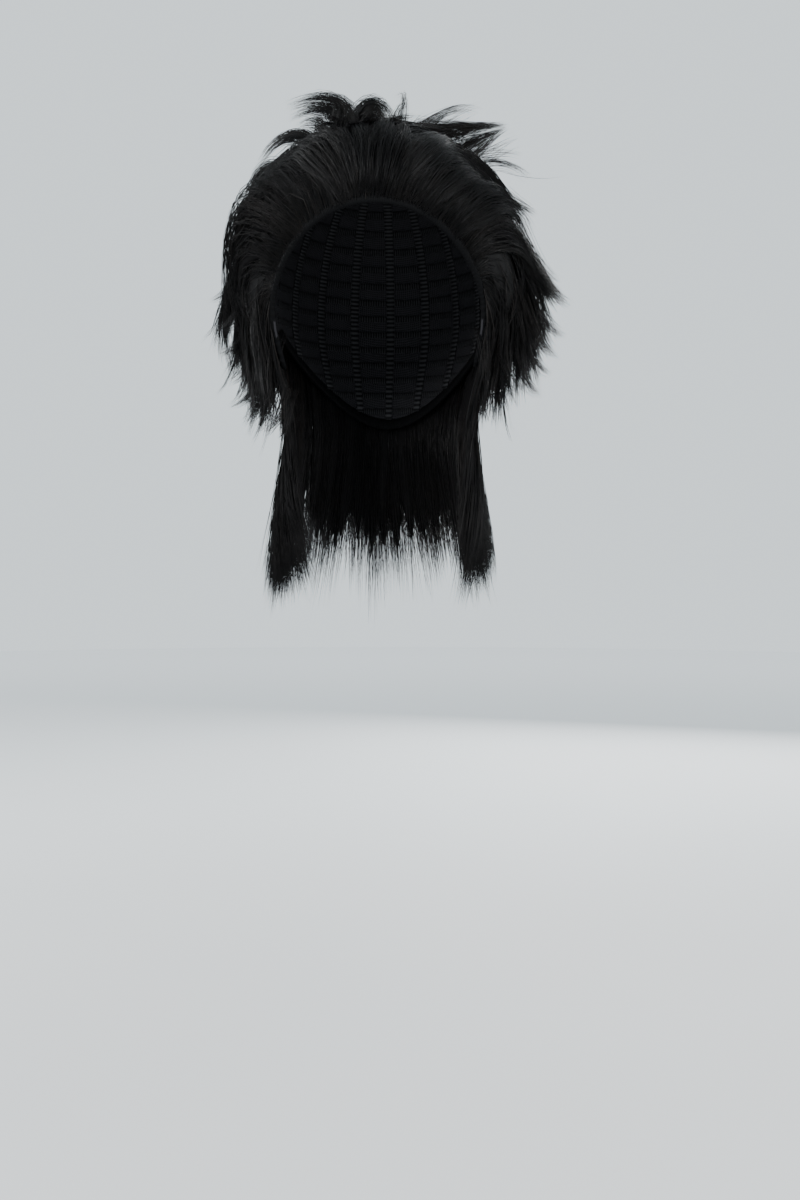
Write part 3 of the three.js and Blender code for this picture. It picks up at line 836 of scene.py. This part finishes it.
def lay_ground(region, hairs, rng):
    roots = ground_roots(region, hairs, rng)
    to_rise, to_tip = growth(roots)
    reach = rng.uniform(*GROUND_REACH, (hairs, 1))
    chart = np.stack([roots, roots + to_rise * reach, roots + to_tip * reach], 1)
    steps = np.linspace(0, 1, GROUND_RINGS)
    turn, drop = from_chart(bend(chart, np.repeat(steps[None], hairs, 0)))
    raised = rng.uniform(*GROUND_RAISED, hairs)[:, None] * smoothstep(steps, 0, 0.5)[None]
    paths, normals = place(turn, drop, ground_lift(turn, drop, BACKINGS[region][2]) + raised)
    sway = rng.normal(0, GROUND_SWAY, (hairs, 1)) * steps[None] ** 2
    paths = paths + sides(tangents(paths), normals) * sway[..., None]
    radius = STRAND * GROUND_THICK * rng.uniform(*DRAWN, hairs)
    traits = np.stack([rng.random(hairs), 0.3 + 0.7 * rng.random(hairs)], -1)
    return hair_tubes(paths, thickness(steps, radius), traits)


print("ground hairs:", sum(ground for _, _, _, ground in COVERS.values()))

# %% [markdown]
# ## Tufts with shapes of their own
# The tufts that stand up from the crown, the arch and the curls at the upper left and the tips that flick out
# beside the ears are what one knows this wig by. No rule gives them, so each is placed one by one, with the four
# points of a curve. A row has those points in millimetres, the tuft's half size at the root, in the middle
# and at the end in millimetres, its number of hairs, how far they stray, and how thick they are drawn.

# %% Crown tufts
CROWN_TUFTS = {
    "arch": (((-18, -26, -19), (-15, -28, 27), (-33, -24, 33), (-65, -18, 22)), (11, 7, 5), 300, 1.6, 0.75),
    "arch_low": (((-23, -26, -17), (-23, -26, 17), (-39, -22, 25), (-62, -16, 13)), (9, 6, 5), 170, 1.6, 0.7),
    "arch_base": (((-33, -26, -22), (-31, -28, 4), (-38, -24, 16), (-56, -18, 12)), (13, 8, 4), 110, 1.6, 0.7),
    "feather": (((-29, -28, -14), (-33, -26, 8), (-42, -22, 15), (-60, -18, 8)), (8, 4, 4), 60, 2.0, 0.6),
    "loop": (((-15, -16, -6), (-17, -24, 30), (4, -24, 34), (8, -12, 4)), (7, 6, 8), 330, 0.8, 0.8),
    "loop_inner": (((-10, -18, -6), (-11, -26, 16), (-1, -26, 20), (6, -14, 4)), (10, 8, 9), 220, 0.9, 0.8),
    "thin_loop": (((11, 6, 1), (15, 10, 33), (20, 14, 49), (8, 16, 39)), (5, 2, 3), 36, 0.8, 0.5),
    "thin_fall": (((5, 6, 1), (7, 8, 26), (12, 10, 42), (20, 12, 28)), (5, 2, 3), 30, 1.0, 0.5),
    "wisps": (((16, 10, 2), (33, 14, 25), (48, 22, 41), (69, 30, 32)), (9, 3, 4), 62, 1.0, 0.5),
    "wisps_low": (((23, 10, 5), (40, 14, 17), (55, 18, 30), (72, 22, 34)), (7, 3, 4), 24, 1.6, 0.45),
    "feather_top": (((18, 4, -1), (21, 6, 11), (26, 8, 17), (35, 10, 23)), (11, 8, 6), 70, 2.0, 0.6),
    "spike": (((34, 4, -2), (52, 8, 7), (73, 14, 15), (88, 20, 20)), (13, 8, 1.5), 230, 0.7, 0.6),
    "spike_top": (((26, 4, 11), (46, 8, 16), (68, 14, 19), (88, 20, 21)), (7, 3, 1.0), 150, 0.7, 0.55),
    "spike_low": (((46, 4, -12), (61, 8, -2), (75, 14, 11), (88, 20, 20)), (10, 6, 1.5), 130, 0.9, 0.6),
    "spike_loose": (((60, 8, -9), (73, 12, -3), (83, 16, 6), (97, 20, 12)), (7, 5, 4), 26, 1.5, 0.45),
    "side_wisps": (((61, 10, -10), (78, 10, -5), (93, 10, -8), (104, 10, -22)), (6, 3, 2.5), 46, 1.4, 0.5),
    "high_wisps": (((58, 14, -3), (75, 18, 2), (87, 20, 3), (99, 24, -1)), (5, 4, 3), 20, 1.6, 0.45),
    "long_hair": (((75, 10, -13), (95, 10, -20), (114, 10, -23), (130, 10, -18)), (1, 1, 1), 2, 0.5, 0.5),
    "back_left": (((-30, 28, -6), (-34, 38, 18), (-46, 56, 22), (-62, 72, 2)), (12, 9, 6), 130, 1.8, 0.8),
    "back_mid": (((2, 32, 0), (0, 46, 22), (5, 70, 25), (8, 90, 6)), (13, 10, 6), 150, 1.8, 0.8),
    "back_right": (((34, 28, -6), (40, 40, 16), (54, 54, 18), (66, 70, 0)), (12, 8, 6), 130, 1.8, 0.8),
    "back_top": (((10, 8, 2), (8, 22, 22), (-4, 38, 25), (-12, 54, 15)), (10, 7, 4), 110, 1.6, 0.8),
}
GLOSSY_TUFTS = {"loop": 0.3, "loop_inner": 0.3}  # how dull these are, as a share of the others
print("crown tufts:", len(CROWN_TUFTS))

# %% Tufts of the front and the left side
FRONT_TUFTS = {
    "arch": (((-30, -24, -21), (-42, -24, 10), (-69, -14, 16), (-85, -8, -13)), (6, 4.5, 3), 190, 0.5, 0.8),
    "lobe": (((-62, -20, -20), (-77, -18, -7), (-91, -10, -20), (-95, -6, -50)), (7, 5, 3), 160, 0.5, 1.2),
    "curl": (((-74, -16, -44), (-85, -14, -37), (-94, -8, -57), (-99, -4, -90)), (7, 5, 4), 150, 0.6, 1.25),
}
LEFT_TUFTS = {
    "fall": (((-78, -14, -50), (-91, -14, -62), (-97, -10, -86), (-101, -4, -114)), (8, 7, 4), 120, 0.8, 0.75),
    "flyaway": (((-92, 4, -36), (-99, 2, -50), (-104, 0, -61), (-113, 0, -66)), (6, 6, 6), 22, 1.5, 0.5),
    "tip_1": (((-87, 0, -72), (-99, 0, -92), (-107, 0, -103), (-121, 4, -105)), (9, 5, 2), 90, 1.4, 0.7),
    "tip_2": (((-85, -6, -90), (-96, -6, -115), (-105, -4, -124), (-118, 0, -126)), (9, 5, 3), 70, 2.0, 0.65),
    "tip_3": (((-84, 4, -106), (-94, 4, -129), (-102, 6, -139), (-115, 8, -141)), (9, 5, 2), 80, 1.6, 0.7),
    "tip_4": (((-83, -4, -121), (-91, -4, -146), (-96, -4, -157), (-108, 0, -162)), (9, 6, 3), 80, 1.8, 0.7),
    "tip_5": (((-80, 6, -133), (-88, 6, -161), (-96, 8, -173), (-109, 10, -177)), (9, 5, 2), 80, 1.6, 0.7),
    "tip_6": (((-74, -8, -149), (-82, -8, -173), (-86, -6, -185), (-96, -2, -190)), (9, 6, 3), 80, 1.8, 0.7),
    "tip_7": (((-67, -16, -164), (-72, -16, -182), (-76, -14, -193), (-83, -12, -197)), (8, 6, 3), 80, 1.6, 0.7),
    "tab": (((-71, -18, -128), (-76, -22, -150), (-74, -22, -170), (-72, -20, -190)), (9, 7, 4), 90, 1.4, 0.7),
    "tip_8": (((-62, -20, -174), (-63, -20, -188), (-64, -20, -198), (-68, -20, -202)), (7, 5, 2), 60, 1.4, 0.7),
}
print("tufts on the left:", len(FRONT_TUFTS) + len(LEFT_TUFTS))

# %% Tufts of the right side
RIGHT_TUFTS = {
    "high": (((85, 8, -33), (93, 8, -37), (100, 8, -40), (108, 6, -47)), (6, 4, 2.5), 60, 1.2, 0.55),
    "tip_1": (((86, 8, -45), (102, 8, -69), (111, 10, -86), (125, 14, -92)), (9, 5, 2), 80, 1.4, 0.7),
    "tip_2": (((88, 0, -64), (106, 0, -89), (114, 2, -101), (128, 6, -105)), (9, 5, 2), 90, 1.4, 0.7),
    "tip_3": (((91, 8, -83), (105, 8, -112), (115, 10, -125), (129, 14, -129)), (9, 5, 2), 90, 1.6, 0.7),
    "tip_4": (((92, -2, -99), (103, -2, -129), (111, 0, -141), (123, 4, -145)), (9, 6, 2), 90, 1.6, 0.7),
    "tip_5": (((91, 8, -111), (98, 8, -140), (106, 8, -152), (118, 10, -156)), (9, 6, 3), 80, 1.6, 0.7),
    "tip_6": (((87, 0, -126), (91, 0, -154), (98, 0, -167), (112, 2, -172)), (9, 6, 2), 90, 1.4, 0.7),
    "tip_7": (((81, -10, -137), (83, -10, -155), (87, -10, -165), (97, -8, -170)), (8, 5, 3), 60, 1.6, 0.65),
    "tab": (((73, -18, -126), (76, -20, -142), (75, -20, -156), (73, -20, -172)), (8, 6, 4), 80, 1.4, 0.7),
    "tip_8": (((76, -18, -152), (72, -18, -174), (72, -18, -183), (74, -18, -192)), (7, 5, 2), 60, 1.4, 0.7),
}
SIDE_TUFTS = {"front_sweep": FRONT_TUFTS, "left_side": LEFT_TUFTS, "right_side": RIGHT_TUFTS}
print("tufts on the right:", len(RIGHT_TUFTS))

# %% [markdown]
# ## Hairs of a tuft
# A tuft of loose hair isn't an even cone. Its hairs cling together in wisps with air between them. So a few
# wisps get a place in the tuft, and each hair lies round one of them. All in one plane, they would look like
# a horn from the side, so the wisps also stand one behind the other. Moving them along the line of sight
# leaves the outline as it is in the photograph.


# %% Laying a tuft
TUFT_RINGS = 8
WISPS = 9
FAN = 0.011  # how far one wisp of a tuft stands behind the next
WISP_LOOSE = 0.35  # how far hairs lie from their wisp, as a share of the tuft's size


def cubic(points, share):
    weights = [(1 - share) ** 3, 3 * share * (1 - share) ** 2, 3 * share**2 * (1 - share), share**3]
    return sum(weight[..., None] * point for weight, point in zip(weights, points))


def lay_tuft(points, sizes, hairs, stray, drawn, rng, dullness=1.0):
    points, sizes, stray = np.array(points, float) / 1000, np.array(sizes) / 1000, stray / 1000
    reach = rng.uniform(0.5, 1.0, hairs) ** 0.75
    steps = np.linspace(0, 1, TUFT_RINGS)
    share = steps[None] * reach[:, None]
    paths = cubic(points, share)
    across = sides(tangents(paths), unit(paths - np.array([0, 0, -CROWN])))
    out = np.cross(across, tangents(paths))
    wisp = rng.integers(0, WISPS, hairs)
    angle, size = rng.uniform(0, 2 * math.pi, WISPS), np.sqrt(rng.random(WISPS))
    centre = np.stack([size * np.cos(angle), size * np.sin(angle)], -1)[wisp]
    loose = rng.normal(0, WISP_LOOSE, (hairs, 2))[:, None] * (1.25 - share)[..., None]
    spread = np.interp(share, [0, 0.5, 1], sizes)[..., None] * (centre[:, None] + loose)
    astray = np.clip(rng.normal(0, 1, (hairs, 2)), -2, 2) * stray
    spread = spread + astray[:, None] * (share**2)[..., None]
    paths = paths + across * spread[..., :1] + out * spread[..., 1:]
    behind = (np.clip(rng.normal(0, 1, WISPS), -1.6, 1.6)[wisp] * FAN)[:, None] * (0.4 + 0.6 * share)
    paths = paths + (paths - np.array(camera.location)) * (behind / CAMERA_AWAY)[..., None]
    radius = STRAND * drawn * rng.uniform(0.6, 1.1, hairs)
    tone = 0.6 * rng.random(WISPS)[wisp] + 0.4 * rng.random(hairs)
    dull = (0.3 + 0.7 * rng.random(hairs)) * dullness
    return hair_tubes(paths, thickness(steps, radius), np.stack([tone, dull], -1))


print("hairs in the crown's tufts:", sum(row[2] for row in CROWN_TUFTS.values()))

# %% [markdown]
# ## One piece of hair for each region
# The hair of a region is one mesh, because it is sewn on as one and takes the place of one solid of the
# packed model. An object for each lock would be easier to grab, but nobody moves one lock alone. The cores of
# all regions are a piece of their own, as they have another finish.


# %% A piece of the wig
def add_piece(name, mesh, material, nodes=()):
    mesh.materials.append(material)
    piece = bpy.data.objects.new(name, mesh)
    bpy.context.collection.objects.link(piece)
    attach(piece, "root")
    if nodes:
        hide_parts(*nodes)
    mesh.calc_loop_triangles()
    print(name, "has", len(mesh.loop_triangles), "triangles")


print("regions that get a piece:", len(GUIDES))

# %% Hair of every region
core_tubes = []
for region, tiers in GUIDES.items():
    style, _, hairs, ground = COVERS[region]
    locks = sum(len(guides) for guides, _, _ in tiers)
    tubes = []
    for guides, half, blunt in tiers:
        share = round(hairs * len(guides) / locks)
        tubes.append(lay_locks(guides, half, blunt, share, style, rng))
        core_tubes.append(lay_cores(guides, half, blunt, style))
    if ground:
        tubes.append(lay_ground(region, ground, rng))
    for row in SIDE_TUFTS.get(region, {}).values():
        tubes.append(lay_tuft(*row, rng))
    name = region + "_hair"
    add_piece(name, tube_mesh(name, tubes), HAIR_FIBRE, [region])
tuft_tubes = [lay_tuft(*row, rng, GLOSSY_TUFTS.get(tuft, 1.0)) for tuft, row in CROWN_TUFTS.items()]
add_piece("lock_cores", tube_mesh("lock_cores", core_tubes), LOCK_CORE)
add_piece("crown_tufts", tube_mesh("crown_tufts", tuft_tubes), HAIR_FIBRE, ["crown"])

# %% [markdown]
# ## Sheets on the form
# The ground, the cap, its tape and the wefts are thin sheets. A sheet could be cut from the packed solid,
# but loose triangles carry no pattern well. So each starts as a flat grid, whose two directions are taken as
# turn and drop, and every point is carried to its place. The first and last columns meet on a full round, so
# doubles are merged there. Solidify gives the thickness, and the grid's coordinates stay as its UV map.


# %% A sheet from a grid
MIDDLE = Vector((0, 0, -0.1))  # a point inside the form, from which outwards is told
MERGED, FLATTENED = 1e-5, 1e-6  # how near points are made one, and how short edges go


def sheet_mesh(name, columns, rows, carry, thickness, joins=False):
    bm = bmesh.new()
    bmesh.ops.create_grid(bm, x_segments=columns, y_segments=rows, size=0.5, calc_uvs=True)
    layer = bm.loops.layers.uv.verify()
    shares = {vert: (vert.co.x + 0.5, vert.co.y + 0.5) for vert in bm.verts}
    for face in bm.faces:
        for loop in face.loops:
            loop[layer].uv = shares[loop.vert]
    points = carry(*np.array(list(shares.values())).T)
    for vert, point in zip(shares, points):
        vert.co = point
    if joins:
        bmesh.ops.remove_doubles(bm, verts=bm.verts, dist=MERGED)
    bmesh.ops.dissolve_degenerate(bm, edges=bm.edges, dist=FLATTENED)
    bmesh.ops.recalc_face_normals(bm, faces=bm.faces)
    if sum(face.normal.dot(face.calc_center_median() - MIDDLE) for face in bm.faces) < 0:
        bmesh.ops.reverse_faces(bm, faces=bm.faces)
    bmesh.ops.solidify(bm, geom=bm.faces, thickness=thickness)
    bmesh.ops.recalc_face_normals(bm, faces=bm.faces)
    mesh = bpy.data.meshes.new(name)
    bm.to_mesh(mesh)
    bm.free()
    mesh.shade_smooth()
    return mesh


print("a sheet's points are merged within", 1000 * MERGED, "mm")

# %% [markdown]
# ## The ground under the hair
# The lowest fibres of the real wig lie too close to tell apart, and no light comes through them. They could
# be drawn as many more hairs, but hardly any of it shows. So a dense shell lies under the hairs, one sheet
# from the crown to the edge, with fine streaks that follow the turns.


# %% Ground shell
SHELL_HEM, SHELL_SUNK, SHELL_WALL = 0.002, 0.0012, 0.0008
FRONT_LIFT, CROWN_LIFT, SIDE_LIFT = (BACKINGS[region][2] for region in ("front_sweep", "crown", "left_side"))
CROWN_EDGE = 0.42  # the drop at which the crown's backing ends


def ground_paint():
    paint = Paint("hair_ground", Specular_IOR_Level=0.1)
    spot = paint.node("ShaderNodeUVMap")
    stretched = paint.node("ShaderNodeMapping", {}, {"Vector": spot, "Scale": (220, 6, 1)})
    streak = paint.noise(stretched, 1, 3)
    paint.set("Base Color", paint.mix(streak, (0.0028, 0.0028, 0.0030, 1), (0.0065, 0.0060, 0.0060, 1)))
    paint.set("Roughness", 0.45 + streak * 0.3)
    paint.bump(streak, 0.5, 0.0006)
    return paint.material


def full_at(turn, drop):
    """The backings' lift at any place, eased from the front to the sides."""
    around = FRONT_LIFT + (SIDE_LIFT - FRONT_LIFT) * smoothstep(from_front(turn), 55, 70)
    return np.where(drop < CROWN_EDGE, CROWN_LIFT, around)


def ground_carry(u, v):
    turn = 360 * u - 180
    drop = v * drop_of(edge_depth(turn) - SHELL_HEM)
    return place(turn, drop, ground_lift(turn, drop, full_at(turn, drop)) - SHELL_SUNK)[0]


ground_mesh = sheet_mesh("hair_ground", 120, 30, ground_carry, SHELL_WALL, joins=True)
add_piece("hair_ground", ground_mesh, ground_paint())

# %% [markdown]
# ## The cap
# The inside of the cap shows through the face opening. It is a fine elastic net, on which the hair is sewn
# in rows. Real threads would need millions of faces, so the sheet is smooth and two crossed waves draw the
# threads in its colour and its bump. They run on the grid's own coordinates, so they follow the cap.


# %% Cap net
CAP_WALL = 0.0014
THREADS_ROUND, THREADS_DOWN = 150, 75


def net_paint():
    paint = Paint("cap_net", Specular_IOR_Level=0.1)
    spot = paint.node("ShaderNodeUVMap")
    around = paint.node("ShaderNodeSeparateXYZ", {}, {0: spot})
    down = around.beside(1)
    upright = around.math("SINE", around * 2 * math.pi * THREADS_ROUND)
    level = down.math("SINE", down * 2 * math.pi * THREADS_DOWN)
    thread = 1 - down.math("ABSOLUTE", upright * level)
    worn = paint.noise(spot, 9, 3)
    dark = paint.mix(thread, (0.004, 0.004, 0.0045, 1), (0.026, 0.025, 0.028, 1))
    paint.set("Base Color", paint.mix(worn * 0.5, dark, (0.012, 0.012, 0.014, 1)))
    paint.set("Roughness", 0.75 + worn * 0.2)
    paint.bump(thread, 0.6, 0.0004)
    return paint.material


def cap_carry(u, v):
    turn = 360 * u - 180
    return place(turn, v * drop_of(edge_depth(turn)), 0.0)[0]


cap_mesh = sheet_mesh("cap_net", 120, 36, cap_carry, -CAP_WALL, joins=True)
add_piece("cap_net", cap_mesh, net_paint(), ["cap"])

# %% [markdown]
# ## Wefts and bands
# Hair is sewn to the cap in wefts, which are rows from one ear round the back to the other, and elastic
# bands run over the cap from the nape to the crown and hold the rows. Both show inside as flat ribs. Drawn in
# the net's material they would cast no shade, so each is a narrow sheet of its own, and a wave along it draws
# the stitches.


# %% A ribbed finish
def rib_paint(name, stitches, light):
    paint = Paint(name, Specular_IOR_Level=0.06)
    along = paint.node("ShaderNodeSeparateXYZ", {}, {0: paint.node("ShaderNodeUVMap")})
    stitch = along.math("SINE", along * 2 * math.pi * stitches) * 0.5 + 0.5
    paint.set("Base Color", paint.mix(stitch, (0.002, 0.002, 0.0025, 1), (light, light, light * 1.06, 1)))
    paint.set("Roughness", 0.6 + stitch * 0.25)
    paint.bump(stitch, 0.7, 0.0004)
    return paint.material


def join_meshes(name, meshes):
    bm = bmesh.new()
    for mesh in meshes:
        bm.from_mesh(mesh)
        bpy.data.meshes.remove(mesh)
    joined = bpy.data.meshes.new(name)
    bm.to_mesh(joined)
    bm.free()
    joined.shade_smooth()
    return joined


WEFT_STITCH, ELASTIC = rib_paint("weft_stitch", 110, 0.024), rib_paint("elastic", 60, 0.034)
print("ribbed finishes:", WEFT_STITCH.name, ELASTIC.name)

# %% Weft rows
WEFT_DEPTHS = np.arange(0.030, 0.175, 0.012)
WEFT_HALF, WEFT_LIFT, WEFT_WALL = 0.0022, -0.0001, 0.0007
WEFT_TURN, WEFT_SPAN = 100, 160
RIB_HEM = 0.006  # how far ribs stay above the cap's edge


def weft_carry(depth):
    def carry(u, v):
        turn = WEFT_TURN + WEFT_SPAN * u
        low = drop_of(np.minimum(depth + WEFT_HALF * (2 * v - 1), edge_depth(turn) - RIB_HEM))
        return place(turn, low, WEFT_LIFT)[0]

    return carry


wefts = [sheet_mesh("weft", 60, 3, weft_carry(depth), WEFT_WALL) for depth in WEFT_DEPTHS]
add_piece("weft_rows", join_meshes("weft_rows", wefts), WEFT_STITCH)

# %% Elastic bands
BAND_TURNS = (118, 138, 159, 180, 201, 222, 242)
BAND_HALF, BAND_LIFT, BAND_WALL = 0.003, -0.0008, 0.0006
BAND_TOP = 0.24  # the drop at which a band ends near the crown
LEAST_RADIUS = 0.02


def band_carry(middle):
    def carry(u, v):
        drop = BAND_TOP + u * (drop_of(edge_depth(middle) - RIB_HEM) - BAND_TOP)
        radius = np.maximum(LEAST_RADIUS, HALF_WIDTH * np.sin(np.minimum(drop, 1) * math.pi / 2))
        turn = middle + np.degrees(BAND_HALF * (2 * v - 1) / radius)
        return place(turn, drop, BAND_LIFT)[0]

    return carry


bands = [sheet_mesh("band", 40, 3, band_carry(turn), BAND_WALL) for turn in BAND_TURNS]
add_piece("elastic_bands", join_meshes("elastic_bands", bands), ELASTIC)

# %% [markdown]
# ## The edge binding
# A narrow tape is folded over the cap's edge and draws the smooth hairline. A bevelled curve would make a
# round cord of it. So its section is a short list of points, each a height above the edge and a lift off the
# form, and a sheet carries that section round the whole edge.


# %% Edge binding
BINDING_WALL = 0.0005
BINDING_SECTION = (
    *((0.006, 0.0030), (0.003, 0.0031), (0.0, 0.0031)),
    *((-0.0012, 0.0022), (-0.0015, 0.0008), (-0.0012, -0.0006)),
    *((0.0, -0.0010), (0.003, -0.0010), (0.006, -0.0008)),
)


def binding_carry(u, v):
    turn = 360 * u - 180
    heights, lifts = zip(*BINDING_SECTION)
    corners = np.arange(len(BINDING_SECTION))
    height, lift = (np.interp(v * corners[-1], corners, values) for values in (heights, lifts))
    return place(turn, drop_of(edge_depth(turn) - height), lift)[0]


binding_mesh = sheet_mesh("edge_binding", 180, 9, binding_carry, BINDING_WALL, joins=True)
add_piece("edge_binding", binding_mesh, rib_paint("binding_weave", 300, 0.003), ["edge_tape"])

# %% [markdown]
# ## Floor
# A pale round floor lies far below the wig. A backdrop that curves up behind it would show its bend from the
# other sides. A wide disc that grows paler outwards meets the pale room in a soft line from everywhere. Its
# paler rim and darker middle are painted light, so that its far part shows as bright as the room.

# %% Floor
FLOOR_DEPTH = -0.625
FLOOR_RADIUS = 4.0


def floor_paint():
    paint = Paint("floor", Specular_IOR_Level=0.2)
    spot = paint.node("ShaderNodeTexCoord", output=OBJECT_SPOT)
    grain = paint.noise(spot, 3, 4)
    away = paint.node("ShaderNodeVectorMath", {"operation": "LENGTH"}, {0: spot}, 1)
    eased = {"interpolation_type": "SMOOTHSTEP"}
    # Painted light: the floor's colour grows from darker in the middle to paler outwards, so that the far floor
    # shows as bright as the room
    near = paint.node("ShaderNodeMapRange", eased, {0: away, 1: 1.1, 2: 0.1})
    far = paint.node("ShaderNodeMapRange", eased, {0: away, 1: 1.2, 2: 3.6})
    grained = paint.mix(grain, (0.50, 0.51, 0.52, 1), (0.54, 0.54, 0.54, 1))
    middle = paint.mix(near, (0.58, 0.60, 0.61, 1), grained)
    paint.set("Base Color", paint.mix(far, middle, (0.90, 0.91, 0.92, 1)))
    paint.set("Roughness", 0.6 + grain * 0.2)
    return paint.material


floor_bm = bmesh.new()
bmesh.ops.create_circle(floor_bm, cap_ends=True, segments=256, radius=FLOOR_RADIUS)
floor_mesh = bpy.data.meshes.new("floor")
floor_bm.to_mesh(floor_mesh)
floor_bm.free()
floor_mesh.materials.append(floor_paint())
floor = bpy.data.objects.new("floor", floor_mesh)
floor.location.z = FLOOR_DEPTH
bpy.context.collection.objects.link(floor)
print("floor is", 2 * FLOOR_RADIUS, "m across")

# %% [markdown]
# ## Room and lamps
# Black hair shows only what it mirrors. A small hard lamp would leave sharp points on it, so large soft lamps
# stand in front, beside and behind, for a calm sheen, and a bright, slightly blue room shows the single hairs
# round the outline.

# %% Room and lamps
ROOM_COLOUR, ROOM_STRENGTH = (0.78, 0.86, 0.90, 1), 1.35
LIT = Vector((0, 0, -0.12))  # what the lamps point at
LAMPS = {  # place, width and power
    "key": ((-1.2, -1.4, 0.8), 1.0, 46),
    "fill": ((1.6, -1.0, 0.5), 0.9, 30),
    "left": ((-1.7, 0.6, 0.2), 1.0, 20),
    "back": ((0.5, 1.6, 0.3), 1.2, 34),
}

world = bpy.data.worlds.new("room")
bpy.context.scene.world = world
world.use_nodes = True
background = world.node_tree.nodes["Background"]
background.inputs["Color"].default_value = ROOM_COLOUR
background.inputs["Strength"].default_value = ROOM_STRENGTH
for name, (spot, width, power) in LAMPS.items():
    lamp_data = bpy.data.lights.new(name, "AREA")
    lamp_data.size = width
    lamp_data.energy = power
    lamp = bpy.data.objects.new(name, lamp_data)
    lamp.location = spot
    lamp.rotation_euler = (LIT - Vector(spot)).to_track_quat("-Z", "Y").to_euler()
    bpy.context.collection.objects.link(lamp)
print("lamps:", len(LAMPS))

# %% [markdown]
